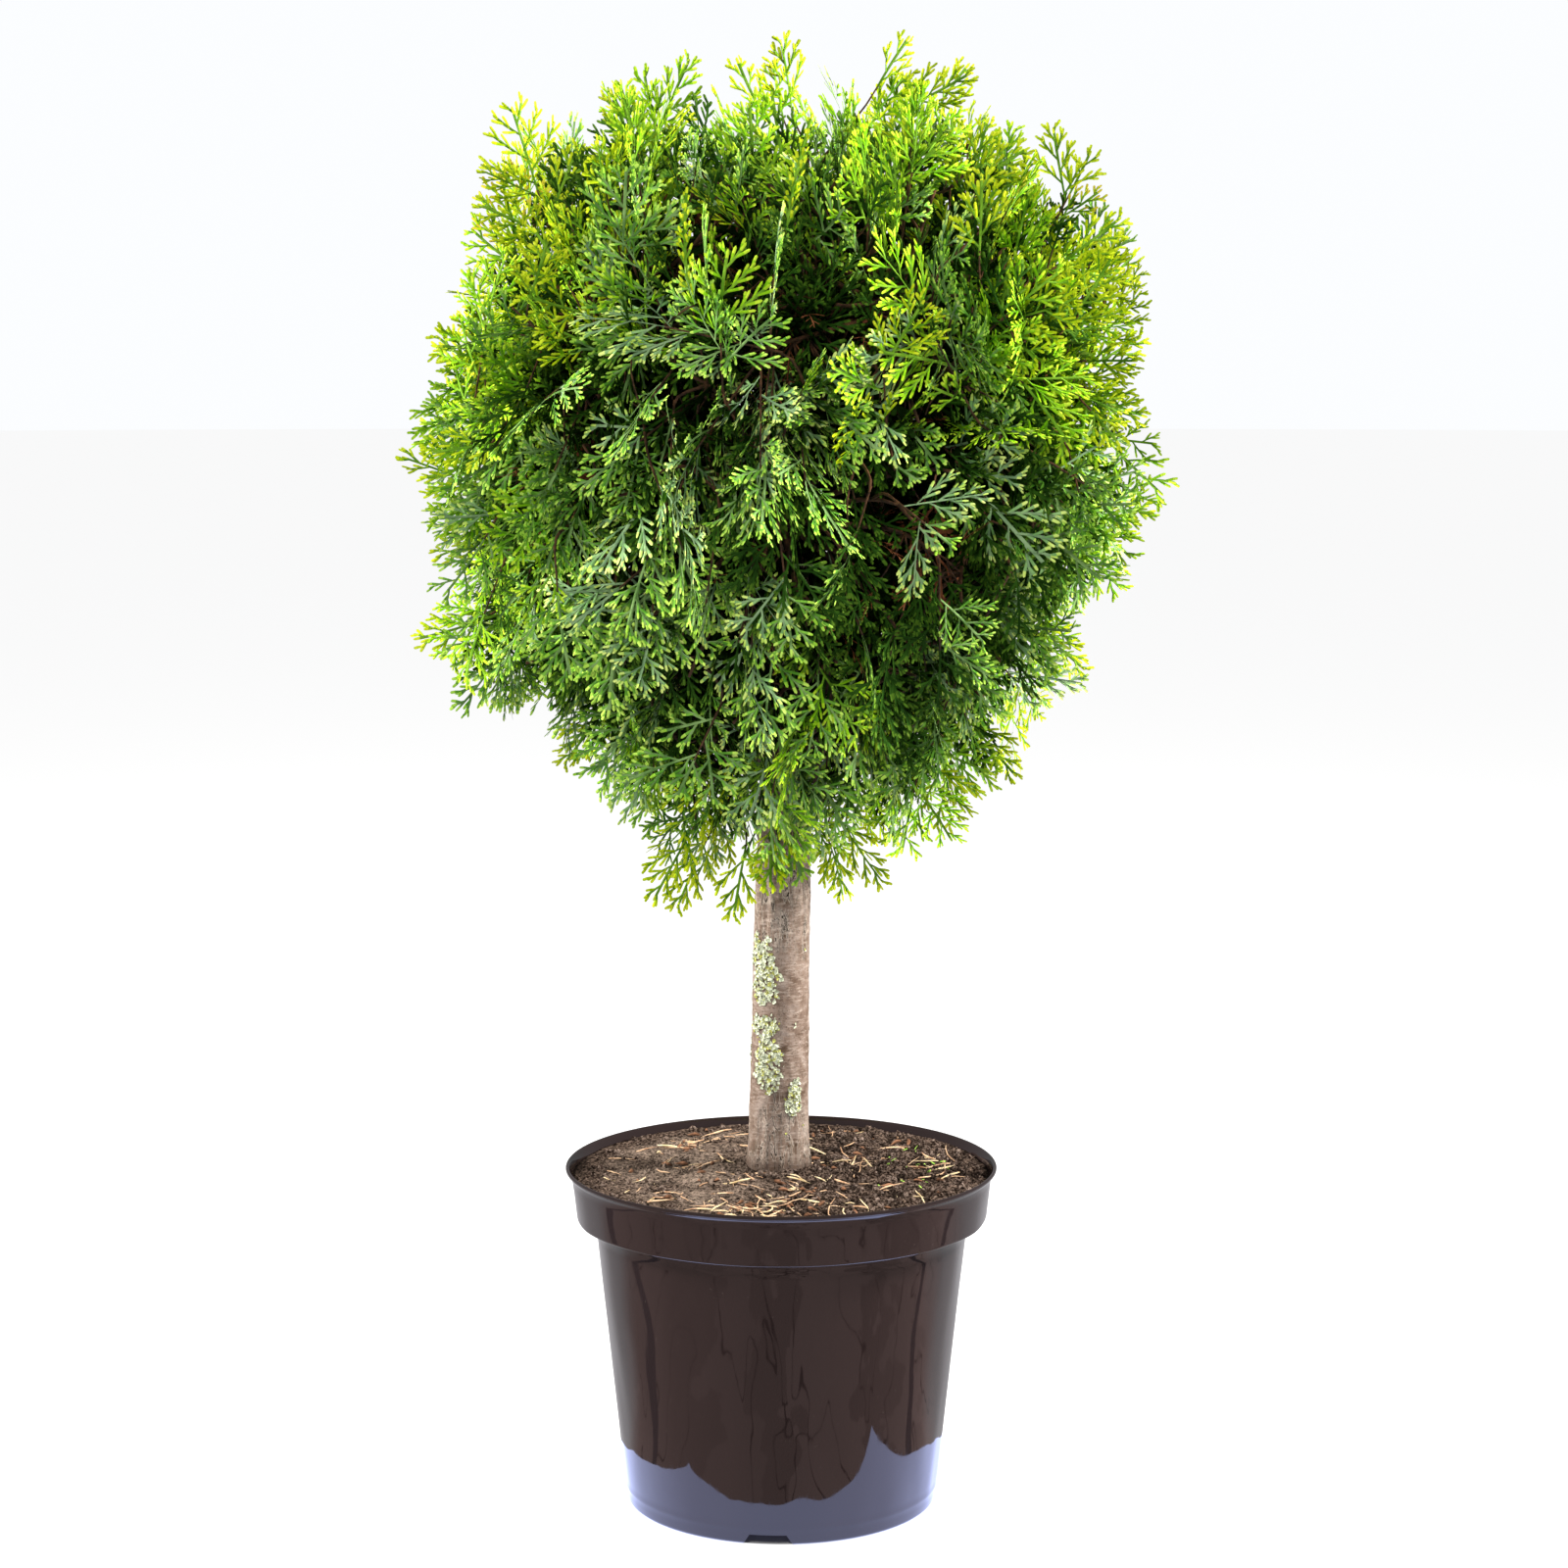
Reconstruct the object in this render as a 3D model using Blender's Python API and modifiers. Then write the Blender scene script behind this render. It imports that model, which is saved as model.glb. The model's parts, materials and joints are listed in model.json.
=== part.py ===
"""A ball-headed thuja on a clear stem, growing in a black nursery pot.

Metres, +Z up. The origin is on the ground under the middle of the pot, and -Y is the front.
The crown is cut into masses of foliage. Each has its own stem, core, twigs and flat sprays, and
grows on from the tip of its own bough, or of the trunk.
"""

import itertools
import math
import random

import bmesh
import bpy
from mathutils import Matrix, Vector

# Everything that touches in the real plant stands this far apart here
GAP = 0.0003

# Pot: a thin moulded shell with a deep rim band, a ledge under it and a tapering body
POT_SEGMENTS = 48
POT_HEIGHT = 0.302
LIP_RADIUS = 0.1903
LIP_DROP = 0.0075
BAND_TOP_RADIUS = 0.1855
BAND_FOOT_RADIUS = 0.1815
BAND_DROP = 0.046
BODY_TOP_RADIUS = 0.1650
BODY_FOOT_RADIUS = 0.1378
SHOULDER_DROP = 0.010
SHOULDER_SWELL = 0.0022
BASE_CHAMFER = 0.0050
CHAMFER_RISE = 0.0040
WALL = 0.0022
FLOOR = 0.0030
LIP_FLAT = 0.0030
LEDGE_STEP = 0.0020

# Four drainage channels are moulded up into the floor, and open at the foot of the wall
CHANNEL_COUNT = 4
CHANNEL_TURN = math.radians(-94.7)
CHANNEL_HEIGHT = 0.0095
CHANNEL_FOOT_WIDTH = 0.047
CHANNEL_ROOF_WIDTH = 0.032
CHANNEL_INNER_END = 0.070
DRAIN_RADIUS = 0.006
DRAIN_DISTANCE = 0.100

DRAIN_SEGMENTS = 12
DRAIN_CUT_DEPTH = 0.020

# Potting soil, filled almost to the lip and mounded towards the stem. It needs a little more
# room than the gap, because the pot's wall is flat between its corners
SOIL_EDGE_DROP = 0.0100
SOIL_MOUND_DROP = 0.0035
SOIL_SEAT_RADIUS = 0.034
SOIL_ROUGHNESS = 0.0012
SOIL_BAND_SLACK = 0.0006
SOIL_BODY_SLACK = 0.0004
DOME_SHARES = (0.3, 0.55, 0.8)
DOME_CURVE = 1.6

# Trunk: a slight bend, a root flare on the soil and a long taper inside the crown
TRUNK_TIP_HEIGHT = 1.085
TRUNK_RINGS = 14
TRUNK_END = 0.007
FLARE_RINGS = (0.017, 0.036)
TRUNK_FLARE = 0.0045
TRUNK_FLARE_HEIGHT = 0.022
TRUNK_FOOT_RADIUS = 0.0262
TRUNK_NECK_RADIUS = 0.0240
TRUNK_NECK_HEIGHT = 0.545
TRUNK_TIP_RADIUS = 0.0070
TRUNK_FOOT_X = -0.0022
TRUNK_LEAN = 0.0145
TRUNK_LEAN_CURVE = 1.3
TRUNK_SWING = 0.006
TRUNK_SIDES = 6
TRUNK_LIMB_STEPS = 20

# Crown: an egg with square shoulders, seen as a radius at its waist and two curves from there
WAIST_HEIGHT = 0.900
WAIST_RADIUS = 0.318
CROWN_TOP = 1.246
CROWN_FOOT = 0.540
TOP_SQUARENESS = 2.8
FOOT_SQUARENESS = 1.75
HEART = Vector((0.004, 0.0, WAIST_HEIGHT))

# Tufts that stand proud of the egg and hollows in it: azimuth in degrees, height, how far out
TUFTS = (
    (180, 1.205, 0.024), (180, 1.090, -0.024), (180, 0.920, 0.012), (180, 0.865, -0.026),
    (180, 0.760, 0.036), (180, 0.672, -0.034), (0, 1.240, 0.020), (0, 1.125, 0.022),
    (0, 0.975, -0.022), (0, 0.880, 0.022), (0, 0.768, -0.034), (0, 0.690, -0.018),
    (-90, 1.010, -0.016), (-75, 0.800, 0.014), (-120, 0.700, 0.012), (90, 0.960, 0.014),
    (70, 0.740, -0.014), (110, 1.120, 0.012),
)
TUFT_ARC = math.radians(42)
TUFT_HEIGHT = 0.034

# Single shoots that outgrow the ball: azimuth in degrees, height of the tip, distance from the axis
SHOOTS = (
    (-20, 1.278, 0.112), (10, 1.262, 0.160), (-80, 1.274, 0.020), (160, 1.262, 0.045),
    (185, 1.232, 0.150), (12, 1.112, 0.305), (-8, 1.025, 0.309), (4, 0.880, 0.331),
    (174, 1.030, 0.300), (186, 0.925, 0.325), (172, 0.835, 0.307), (188, 0.765, 0.316),
    (6, 0.735, 0.268), (-10, 0.648, 0.204), (170, 0.652, 0.196), (-155, 0.522, 0.080),
    (95, 1.266, 0.070), (60, 0.905, 0.325), (-100, 0.560, 0.072),
)

# Masses: name, count, first azimuth in degrees, distance and height of the core's middle,
# height where the bough leaves the trunk, and how far from the axis the bough ends
TIERS = (
    ("top", 1, 0, 0.000, 1.135, None, None),
    ("upper", 4, -60, 0.178, 1.050, 0.985, 0.082),
    ("middle", 5, -90, 0.185, 0.885, 0.850, 0.082),
    ("lower", 4, -68, 0.120, 0.710, 0.665, 0.050),
)
BOUGH_FOOT_RADIUS = 0.0075
BOUGH_TIP_RADIUS = 0.0048
BOUGH_COLLAR = 0.008
BOUGH_RINGS = 5
BOUGH_SAG = 0.004
BOUGH_SIDES = 2
CORE_CLEAR = 0.004
CORE_REACH = 0.88
CORE_CELL_SHARE = 0.94
CORE_SMALLEST = 0.022
TOP_CORE_RISE = 0.012
LOWER_CORE_TOP = 0.832
STEM_REACH = 0.012
STEM_TAPER = (1, 0.95, 0.7)

# Twigs and sprays
TWIG_COUNT = 74
TWIG_START = 0.25
TWIG_END = 0.66
TWIG_RADII = (0.0042, 0.0018)
SPRAY_THICKNESS = 0.0022
SPRAY_WIDTH = 0.62
SPRAY_OUTLINE_WIDTH = 0.76
SPRAY_SINK = 0.016
SPRAY_SHORTEST = 0.034
SIDE_SPRAYS = ((0.60, 38), (0.95, -42))
CELL_MARGIN = 0.0008
LIMB_CLEARANCE = 0.0025
SHRINK_STEPS = (1.0, 0.86, 0.72, 0.6)
TURN_STEPS = tuple(math.radians(turn) for turn in (0, 55, -55, 90))
SEED = 41

BARK = ("bark", (0.33, 0.26, 0.20), 0.85)
SOIL = ("soil", (0.085, 0.055, 0.040), 0.95)
PLASTIC = ("plastic", (0.012, 0.011, 0.012), 0.18)
LEAVES = {
    "top": ("leaves_top", (0.30, 0.42, 0.04), 0.6),
    "upper": ("leaves_upper", (0.22, 0.35, 0.03), 0.6),
    "middle": ("leaves_middle", (0.10, 0.22, 0.03), 0.6),
    "lower": ("leaves_lower", (0.08, 0.19, 0.05), 0.6),
}


def clear_scene():
    """Removes whatever the scene holds."""
    for obj in list(bpy.data.objects):
        bpy.data.objects.remove(obj)


def material(finish):
    """The Principled material of a (name, colour, roughness) finish, made once."""
    name, colour, roughness = finish
    made = bpy.data.materials.get(name)
    if made is None:
        made = bpy.data.materials.new(name)
        made.use_nodes = True
        shader = made.node_tree.nodes["Principled BSDF"]
        shader.inputs["Base Color"].default_value = (*colour, 1.0)
        shader.inputs["Roughness"].default_value = roughness
    return made


def add_object(name, data, finish, collection):
    """Puts a mesh or curve in a collection as an object with its finish."""
    obj = bpy.data.objects.new(name, data)
    data.materials.clear()
    data.materials.append(material(finish))
    collection.objects.link(obj)
    return obj


def mesh_of(obj):
    """The object's evaluated mesh in the world, welded, as new mesh data."""
    graph = bpy.context.evaluated_depsgraph_get()
    mesh = bpy.data.meshes.new_from_object(obj.evaluated_get(graph))
    mesh.transform(obj.matrix_world)
    work = bmesh.new()
    work.from_mesh(mesh)
    bmesh.ops.remove_doubles(work, verts=work.verts, dist=0.00001)
    bmesh.ops.recalc_face_normals(work, faces=work.faces)
    work.to_mesh(mesh)
    work.free()
    return mesh


def polar(azimuth, distance, height):
    """A point from its azimuth in radians, distance from the Z axis and height."""
    return Vector((math.cos(azimuth) * distance, math.sin(azimuth) * distance, height))


def turned(name, profile, finish, collection):
    """A solid turned about Z from a closed profile that runs down its outer side."""
    mesh = bpy.data.meshes.new(name)
    edges = [(i, i + 1) for i in range(len(profile) - 1)]
    mesh.from_pydata([(radius, 0, height) for radius, height in profile], edges, [])
    obj = add_object(name, mesh, finish, collection)
    screw = obj.modifiers.new("turn", "SCREW")
    screw.steps = screw.render_steps = POT_SEGMENTS
    screw.use_merge_vertices = True
    screw.merge_threshold = 0.00005
    return obj


def boolean(obj, operation, other):
    """Applies one Boolean with a mesh object, and removes that object."""
    cut = obj.modifiers.new(operation, "BOOLEAN")
    cut.operation = operation
    cut.object = other
    bpy.context.view_layer.update()
    graph = bpy.context.evaluated_depsgraph_get()
    mesh = bpy.data.meshes.new_from_object(obj.evaluated_get(graph))
    obj.modifiers.clear()
    obj.data = mesh
    bpy.data.objects.remove(other)


def body_radius(height):
    """The outer radius of the pot's tapering body at a height."""
    share = (height - CHAMFER_RISE) / (POT_HEIGHT - BAND_DROP - CHAMFER_RISE)
    return BODY_FOOT_RADIUS + (BODY_TOP_RADIUS - BODY_FOOT_RADIUS) * share


def pot_profile():
    """The pot's closed profile: lip, band, ledge, body and foot, then back up the inside."""
    ledge = POT_HEIGHT - BAND_DROP
    shoulder = ledge - SHOULDER_DROP
    band_top = POT_HEIGHT - LIP_DROP
    band_inside = BAND_FOOT_RADIUS - WALL - LEDGE_STEP
    outer = [
        (LIP_RADIUS - LIP_FLAT, POT_HEIGHT),
        (LIP_RADIUS - 0.0010, POT_HEIGHT - 0.0003),
        (LIP_RADIUS, POT_HEIGHT - 0.0015),
        (LIP_RADIUS - 0.0003, POT_HEIGHT - 0.0032),
        (BAND_TOP_RADIUS, band_top),
        (BAND_FOOT_RADIUS, ledge + 0.003),
        (BAND_FOOT_RADIUS - 0.0009, ledge + 0.0008),
        (BAND_FOOT_RADIUS - 0.0028, ledge),
        (BODY_TOP_RADIUS + SHOULDER_SWELL, ledge),
        (BODY_TOP_RADIUS + SHOULDER_SWELL - 0.0006, ledge - 0.005),
        (body_radius(shoulder), shoulder),
        (body_radius(CHAMFER_RISE), CHAMFER_RISE),
        (BODY_FOOT_RADIUS - BASE_CHAMFER * 0.35, CHAMFER_RISE * 0.3),
        (BODY_FOOT_RADIUS - BASE_CHAMFER, 0),
        (0, 0),
    ]
    inner = [
        (0, FLOOR),
        (body_radius(FLOOR) - BASE_CHAMFER - WALL, FLOOR),
        (body_radius(FLOOR + 0.006) - WALL, FLOOR + 0.006),
        (body_radius(ledge) - WALL, ledge + WALL * 0.4),
        (body_radius(ledge) - WALL * 0.2, ledge + WALL),
        (band_inside, ledge + WALL),
        (BAND_TOP_RADIUS - WALL, band_top),
        (LIP_RADIUS - LIP_FLAT - WALL * 0.4, POT_HEIGHT - 0.0012),
    ]
    return [*outer, *inner, outer[0]]


def channel_prism(name, grow, start, end, foot, azimuth, collection):
    """A prism with the drainage channel's trapezoid as section, lying along an azimuth."""
    roof = CHANNEL_HEIGHT + grow
    half_foot = CHANNEL_FOOT_WIDTH / 2 + grow
    half_roof = CHANNEL_ROOF_WIDTH / 2 + grow
    outline = ((-half_foot, foot), (half_foot, foot), (half_roof, roof), (-half_roof, roof))
    work = bmesh.new()
    near = [work.verts.new((start, x, z)) for x, z in outline]
    far = [work.verts.new((end, x, z)) for x, z in outline]
    work.faces.new(near[::-1])
    work.faces.new(far)
    for i in range(len(outline)):
        j = (i + 1) % len(outline)
        work.faces.new((near[i], near[j], far[j], far[i]))
    bmesh.ops.recalc_face_normals(work, faces=work.faces)
    work.transform(Matrix.Rotation(azimuth, 4, "Z"))
    mesh = bpy.data.meshes.new(name)
    work.to_mesh(mesh)
    work.free()
    return add_object(name, mesh, PLASTIC, collection)


def drain_cutter(azimuth, collection):
    """A round cutter for the drain hole in a channel's roof."""
    work = bmesh.new()
    place = Matrix.Translation(polar(azimuth, DRAIN_DISTANCE, CHANNEL_HEIGHT))
    bmesh.ops.create_cone(
        work, cap_ends=True, segments=DRAIN_SEGMENTS, radius1=DRAIN_RADIUS,
        radius2=DRAIN_RADIUS, depth=DRAIN_CUT_DEPTH, matrix=place,
    )
    mesh = bpy.data.meshes.new("drain")
    work.to_mesh(mesh)
    work.free()
    return add_object("drain", mesh, PLASTIC, collection)


def wall_core(collection):
    """A filled drum that ends in the middle of the pot's wall: channel covers stop there."""
    foot = FLOOR / 2
    top = CHANNEL_HEIGHT + WALL * 2
    foot_radius = BODY_FOOT_RADIUS - FLOOR
    top_radius = body_radius(top) - WALL / 2
    return turned(
        "drum", [(0, top), (top_radius, top), (foot_radius, foot), (0, foot)], PLASTIC, collection)


def make_pot(parts, cutters):
    """The nursery pot, with its drainage channels moulded up into the floor."""
    pot = turned("pot", pot_profile(), PLASTIC, parts)
    cover_start = CHANNEL_INNER_END - WALL
    for i in range(CHANNEL_COUNT):
        azimuth = CHANNEL_TURN + i * math.tau / CHANNEL_COUNT
        cover = channel_prism("cover", WALL, cover_start, LIP_RADIUS, FLOOR / 2, azimuth, cutters)
        boolean(cover, "INTERSECT", wall_core(cutters))
        boolean(pot, "UNION", cover)
        channel = channel_prism(
            "channel", 0, CHANNEL_INNER_END, LIP_RADIUS, -FLOOR, azimuth, cutters)
        boolean(pot, "DIFFERENCE", channel)
        boolean(pot, "DIFFERENCE", drain_cutter(azimuth, cutters))
    pot.data.materials.clear()
    pot.data.materials.append(material(PLASTIC))
    return pot


def make_soil(parts):
    """The root ball's soil: it fills the pot above the channels and carries the trunk."""
    ledge = POT_HEIGHT - BAND_DROP
    clear = WALL + GAP
    foot = CHANNEL_HEIGHT + WALL + GAP
    edge = POT_HEIGHT - SOIL_EDGE_DROP
    mound = POT_HEIGHT - SOIL_MOUND_DROP
    step = ledge + WALL + GAP
    edge_radius = BAND_TOP_RADIUS - clear - SOIL_BAND_SLACK
    dome = [(SOIL_SEAT_RADIUS, mound)]
    for share in DOME_SHARES:
        radius = SOIL_SEAT_RADIUS + (edge_radius - SOIL_SEAT_RADIUS) * share
        dome.append((radius, mound + (edge - mound) * share ** DOME_CURVE))
    profile = [
        (0, mound), *dome, (edge_radius, edge),
        (BAND_FOOT_RADIUS - clear - LEDGE_STEP, step),
        (body_radius(ledge) - clear - SOIL_BODY_SLACK, step),
        (body_radius(foot) - clear - SOIL_BODY_SLACK, foot),
        (0, foot),
    ]
    soil = turned("soil", profile, SOIL, parts)
    bpy.context.view_layer.update()
    soil.data = mesh_of(soil)
    soil.modifiers.clear()
    draw = random.Random(SEED)
    for vertex in soil.data.vertices:
        radius = math.hypot(vertex.co.x, vertex.co.y)
        if vertex.co.z > edge - 0.0001 and SOIL_SEAT_RADIUS + 0.001 < radius < edge_radius:
            vertex.co.z += draw.uniform(-SOIL_ROUGHNESS, SOIL_ROUGHNESS)
    return soil


def trunk_foot():
    """The height of the trunk's flat cut, on the soil."""
    return POT_HEIGHT - SOIL_MOUND_DROP + GAP


def trunk_point(height):
    """The middle of the trunk at a height. It ends upright, so that both cuts are level."""
    level = min(max(height, trunk_foot() + TRUNK_END), TRUNK_TIP_HEIGHT - TRUNK_END)
    share = (level - trunk_foot()) / (TRUNK_TIP_HEIGHT - trunk_foot())
    swing = math.sin(share * math.pi) * TRUNK_SWING
    return Vector((TRUNK_FOOT_X + TRUNK_LEAN * share ** TRUNK_LEAN_CURVE, swing, height))


def trunk_radius(height):
    """The trunk's radius at a height: flare, clear stem, then the taper in the crown."""
    flare = TRUNK_FLARE * math.exp(-(height - trunk_foot()) / TRUNK_FLARE_HEIGHT)
    if height < TRUNK_NECK_HEIGHT:
        share = (height - trunk_foot()) / (TRUNK_NECK_HEIGHT - trunk_foot())
        return TRUNK_FOOT_RADIUS + (TRUNK_NECK_RADIUS - TRUNK_FOOT_RADIUS) * share + flare
    share = (height - TRUNK_NECK_HEIGHT) / (TRUNK_TIP_HEIGHT - TRUNK_NECK_HEIGHT)
    return TRUNK_NECK_RADIUS + (TRUNK_TIP_RADIUS - TRUNK_NECK_RADIUS) * share


def limb(name, points, radii, resolution, finish, collection):
    """A tapering limb: a curve through points with filled caps."""
    curve = bpy.data.curves.new(name, "CURVE")
    curve.dimensions = "3D"
    curve.bevel_depth = 1.0
    curve.bevel_resolution = resolution
    curve.use_fill_caps = True
    spline = curve.splines.new("POLY")
    spline.points.add(len(points) - 1)
    for target, point, radius in zip(spline.points, points, radii):
        target.co = (*point, 1.0)
        target.radius = radius
    return add_object(name, curve, finish, collection)


def make_trunk(parts):
    """The trunk, from its flat cut on the soil to its tip inside the crown."""
    foot = trunk_foot()
    rise = TRUNK_TIP_HEIGHT - foot
    heights = [foot, foot + TRUNK_END, *(foot + ring for ring in FLARE_RINGS)]
    heights += [foot + rise * i / TRUNK_RINGS for i in range(1, TRUNK_RINGS)]
    heights += [TRUNK_TIP_HEIGHT - TRUNK_END, TRUNK_TIP_HEIGHT]
    points = [trunk_point(height) for height in heights]
    radii = [trunk_radius(height) for height in heights]
    return limb("trunk", points, radii, TRUNK_SIDES, BARK, parts)


def bough_path(azimuth, height, end_distance, core):
    """A bough's points: out of the trunk through a collar, then rising towards its mass."""
    out = polar(azimuth, 1, 0)
    beside = [height + BOUGH_FOOT_RADIUS * i for i in (-1.2, 0, 1.2)]
    bark = max(trunk_point(level).dot(out) + trunk_radius(level) for level in beside)
    middle = trunk_point(height)
    root = middle + out * (bark + GAP - middle.dot(out))
    collar = root + out * BOUGH_COLLAR
    heading = (core - collar).normalized()
    reach = end_distance - collar.dot(out)
    end = collar + heading * (reach / heading.dot(out))
    points = [root]
    for i in range(BOUGH_RINGS):
        share = i / (BOUGH_RINGS - 1)
        sag = math.sin(share * math.pi) * -BOUGH_SAG
        points.append(collar.lerp(end, share) + Vector((0, 0, sag)))
    return points


def crown_radius(direction):
    """How far the leaves reach from the heart of the crown along a direction."""
    flat = math.hypot(direction.x, direction.y)
    half = CROWN_TOP - WAIST_HEIGHT if direction.z > 0 else WAIST_HEIGHT - CROWN_FOOT
    square = TOP_SQUARENESS if direction.z > 0 else FOOT_SQUARENESS
    reach = (flat / WAIST_RADIUS) ** square + (abs(direction.z) / half) ** square
    reach = reach ** (-1 / square)
    azimuth = math.atan2(direction.y, direction.x)
    height = WAIST_HEIGHT + direction.z * reach
    for tuft_azimuth, tuft_height, proud in TUFTS:
        turn = (azimuth - math.radians(tuft_azimuth) + math.pi) % math.tau - math.pi
        away = (turn / TUFT_ARC) ** 2 + ((height - tuft_height) / TUFT_HEIGHT) ** 2
        reach += proud * math.exp(-away)
    return reach


def segment_gap(a0, a1, b0, b1, steps=8):
    """The least distance between two segments, sampled finely enough for limbs."""
    best = math.inf
    span = b1 - b0
    for i in range(steps + 1):
        point = a0.lerp(a1, i / steps)
        share = min(max((point - b0).dot(span) / span.length_squared, 0), 1)
        best = min(best, (point - b0 - span * share).length)
    return best


class Mass:
    """One mass of foliage: its core's middle, its own space and the limb it grows on from."""

    def __init__(self, name, tier, core, root, heading, stem_radius):
        self.name = name
        self.tier = tier
        self.core = core
        self.root = root
        self.heading = heading
        self.stem_radius = stem_radius
        self.walls = []

    def room(self, point):
        """How far inside the mass's own space a point lies."""
        return min(offset - normal.dot(point) for normal, offset in self.walls)

    def room_along(self, start, direction):
        """How far one can go from a start before leaving the mass's own space."""
        room = math.inf
        for normal, offset in self.walls:
            speed = normal.dot(direction)
            if speed > 1e-6:
                room = min(room, (offset - normal.dot(start)) / speed)
        return room


def part_spaces(masses):
    """Gives each mass the space nearer to its core than to any other's."""
    for mass in masses:
        for other in masses:
            if other is not mass:
                normal = (other.core - mass.core).normalized()
                middle = (mass.core + other.core) / 2
                mass.walls.append((normal, normal.dot(middle) - CELL_MARGIN))
        if mass.tier == "top":
            mass.walls.append((Vector((0, 0, -1)), -TRUNK_TIP_HEIGHT - GAP))


def core_walls(mass, end_distance):
    """The further walls that keep a core clear of the trunk and of every bough."""
    if mass.tier == "top":
        return [(Vector((0, 0, -1)), -TRUNK_TIP_HEIGHT - TOP_CORE_RISE)]
    out = Vector((mass.core.x, mass.core.y, 0)).normalized()
    walls = [(-out, -end_distance - CORE_CLEAR)]
    if mass.tier == "lower":
        walls.append((Vector((0, 0, 1)), LOWER_CORE_TOP))
    return walls


def make_core(mass, end_distance, collection):
    """The dense inside of a mass: a blob that keeps well inside the mass's own space."""
    work = bmesh.new()
    bmesh.ops.create_icosphere(work, subdivisions=2, radius=1)
    walls = mass.walls + core_walls(mass, end_distance)
    for vertex in work.verts:
        direction = vertex.co.normalized()
        room = 1.0
        for normal, offset in walls:
            speed = normal.dot(direction)
            if speed > 1e-6:
                room = min(room, (offset - normal.dot(mass.core)) / speed * CORE_CELL_SHARE)
        vertex.co = mass.core + direction * min(room, skin_distance(mass.core, direction))
    bmesh.ops.recalc_face_normals(work, faces=work.faces)
    mesh = bpy.data.meshes.new(mass.name)
    work.to_mesh(mesh)
    work.free()
    return add_object(mass.name, mesh, LEAVES[mass.tier], collection)


def skin_distance(start, direction, halvings=18):
    """How far the core reaches from its middle: to a share of the crown's own reach."""
    near, far = 0.0, CROWN_TOP - CROWN_FOOT
    for _ in range(halvings):
        middle = (near + far) / 2
        point = start + direction * middle - HEART
        if point.length < crown_radius(point.normalized()) * CORE_REACH:
            near = middle
        else:
            far = middle
    return max(near, CORE_SMALLEST)


def shared_meshes():
    """The unit shapes that twigs and sprays are scaled from."""
    work = bmesh.new()
    bmesh.ops.create_cone(
        work, cap_ends=True, segments=3, radius1=TWIG_RADII[0], radius2=TWIG_RADII[1], depth=1,
        matrix=Matrix.Translation((0, 0, 0.5)),
    )
    twig = bpy.data.meshes.new("twig")
    work.to_mesh(twig)
    work.free()
    outlines = (
        ((-0.03, 0), (-0.36, 0.50), (-0.14, 0.52), (-0.26, 0.86), (0.02, 1.0),
         (0.15, 0.68), (0.40, 0.62), (0.13, 0.34), (0.03, 0)),
        ((-0.03, 0), (-0.12, 0.36), (-0.42, 0.60), (-0.13, 0.70), (-0.02, 1.0),
         (0.24, 0.84), (0.12, 0.54), (0.34, 0.46), (0.03, 0)),
        ((-0.03, 0), (-0.30, 0.42), (-0.12, 0.60), (0.0, 1.0), (0.14, 0.64), (0.34, 0.50),
         (0.03, 0)),
    )
    sprays = []
    for number, outline in enumerate(outlines):
        curve = bpy.data.curves.new(f"spray_{number}", "CURVE")
        curve.dimensions = "2D"
        curve.fill_mode = "BOTH"
        curve.extrude = SPRAY_THICKNESS / 2
        spline = curve.splines.new("POLY")
        spline.points.add(len(outline) - 1)
        for target, (x, y) in zip(spline.points, outline):
            target.co = (x * SPRAY_WIDTH / SPRAY_OUTLINE_WIDTH, y, 0, 1)
        spline.use_cyclic_u = True
        flat = bpy.data.objects.new(f"spray_{number}", curve)
        bpy.context.scene.collection.objects.link(flat)
        bpy.context.view_layer.update()
        sprays.append(mesh_of(flat))
        bpy.data.objects.remove(flat)
    return twig, sprays


def along(root, tip, width, facing):
    """A matrix that lays a unit shape's Y from root to tip, as wide as asked, facing a way."""
    axis = tip - root
    y = axis.normalized()
    x = y.cross(facing)
    if x.length < 0.05:
        x = y.cross(Vector((0.3, 0.2, 1)))
    x.normalize()
    z = x.cross(y)
    turn = Matrix((x * width, y * axis.length, z)).transposed().to_4x4()
    return Matrix.Translation(root) @ turn


def spray_fits(mass, matrix, mesh, root, tip, limbs):
    """Whether a spray stays in its mass's space and clear of every limb."""
    if any(mass.room(matrix @ vertex.co) < CELL_MARGIN for vertex in mesh.vertices):
        return False
    half_width = (matrix.to_scale().x * SPRAY_WIDTH) / 2
    return all(
        segment_gap(root, tip, start, end) > radius + LIMB_CLEARANCE + half_width * 0.8
        for start, end, radius in limbs
    )


def place_spray(mass, root, tip, facing, mesh, limbs, collection):
    """Adds one spray, turned and shortened until it fits, or leaves it out."""
    axis = (tip - root).normalized()
    for shrink, turn in itertools.product(SHRINK_STEPS, TURN_STEPS):
        end = root.lerp(tip, shrink)
        length = (end - root).length
        matrix = along(root, end, length, Matrix.Rotation(turn, 3, axis) @ facing)
        if length > SPRAY_SHORTEST and spray_fits(mass, matrix, mesh, root, end, limbs):
            spray = bpy.data.objects.new("spray", mesh)
            spray.matrix_world = matrix
            collection.objects.link(spray)
            return


def twig_tips():
    """Points spread evenly over the crown's skin, where twigs end their sprays."""
    golden = math.pi * (3 - math.sqrt(5))
    for i in range(TWIG_COUNT):
        climb = 1 - 2 * (i + 0.5) / TWIG_COUNT
        flat = math.sqrt(1 - climb * climb)
        direction = Vector((math.cos(golden * i) * flat, math.sin(golden * i) * flat, climb))
        yield HEART + direction * crown_radius(direction)


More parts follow.
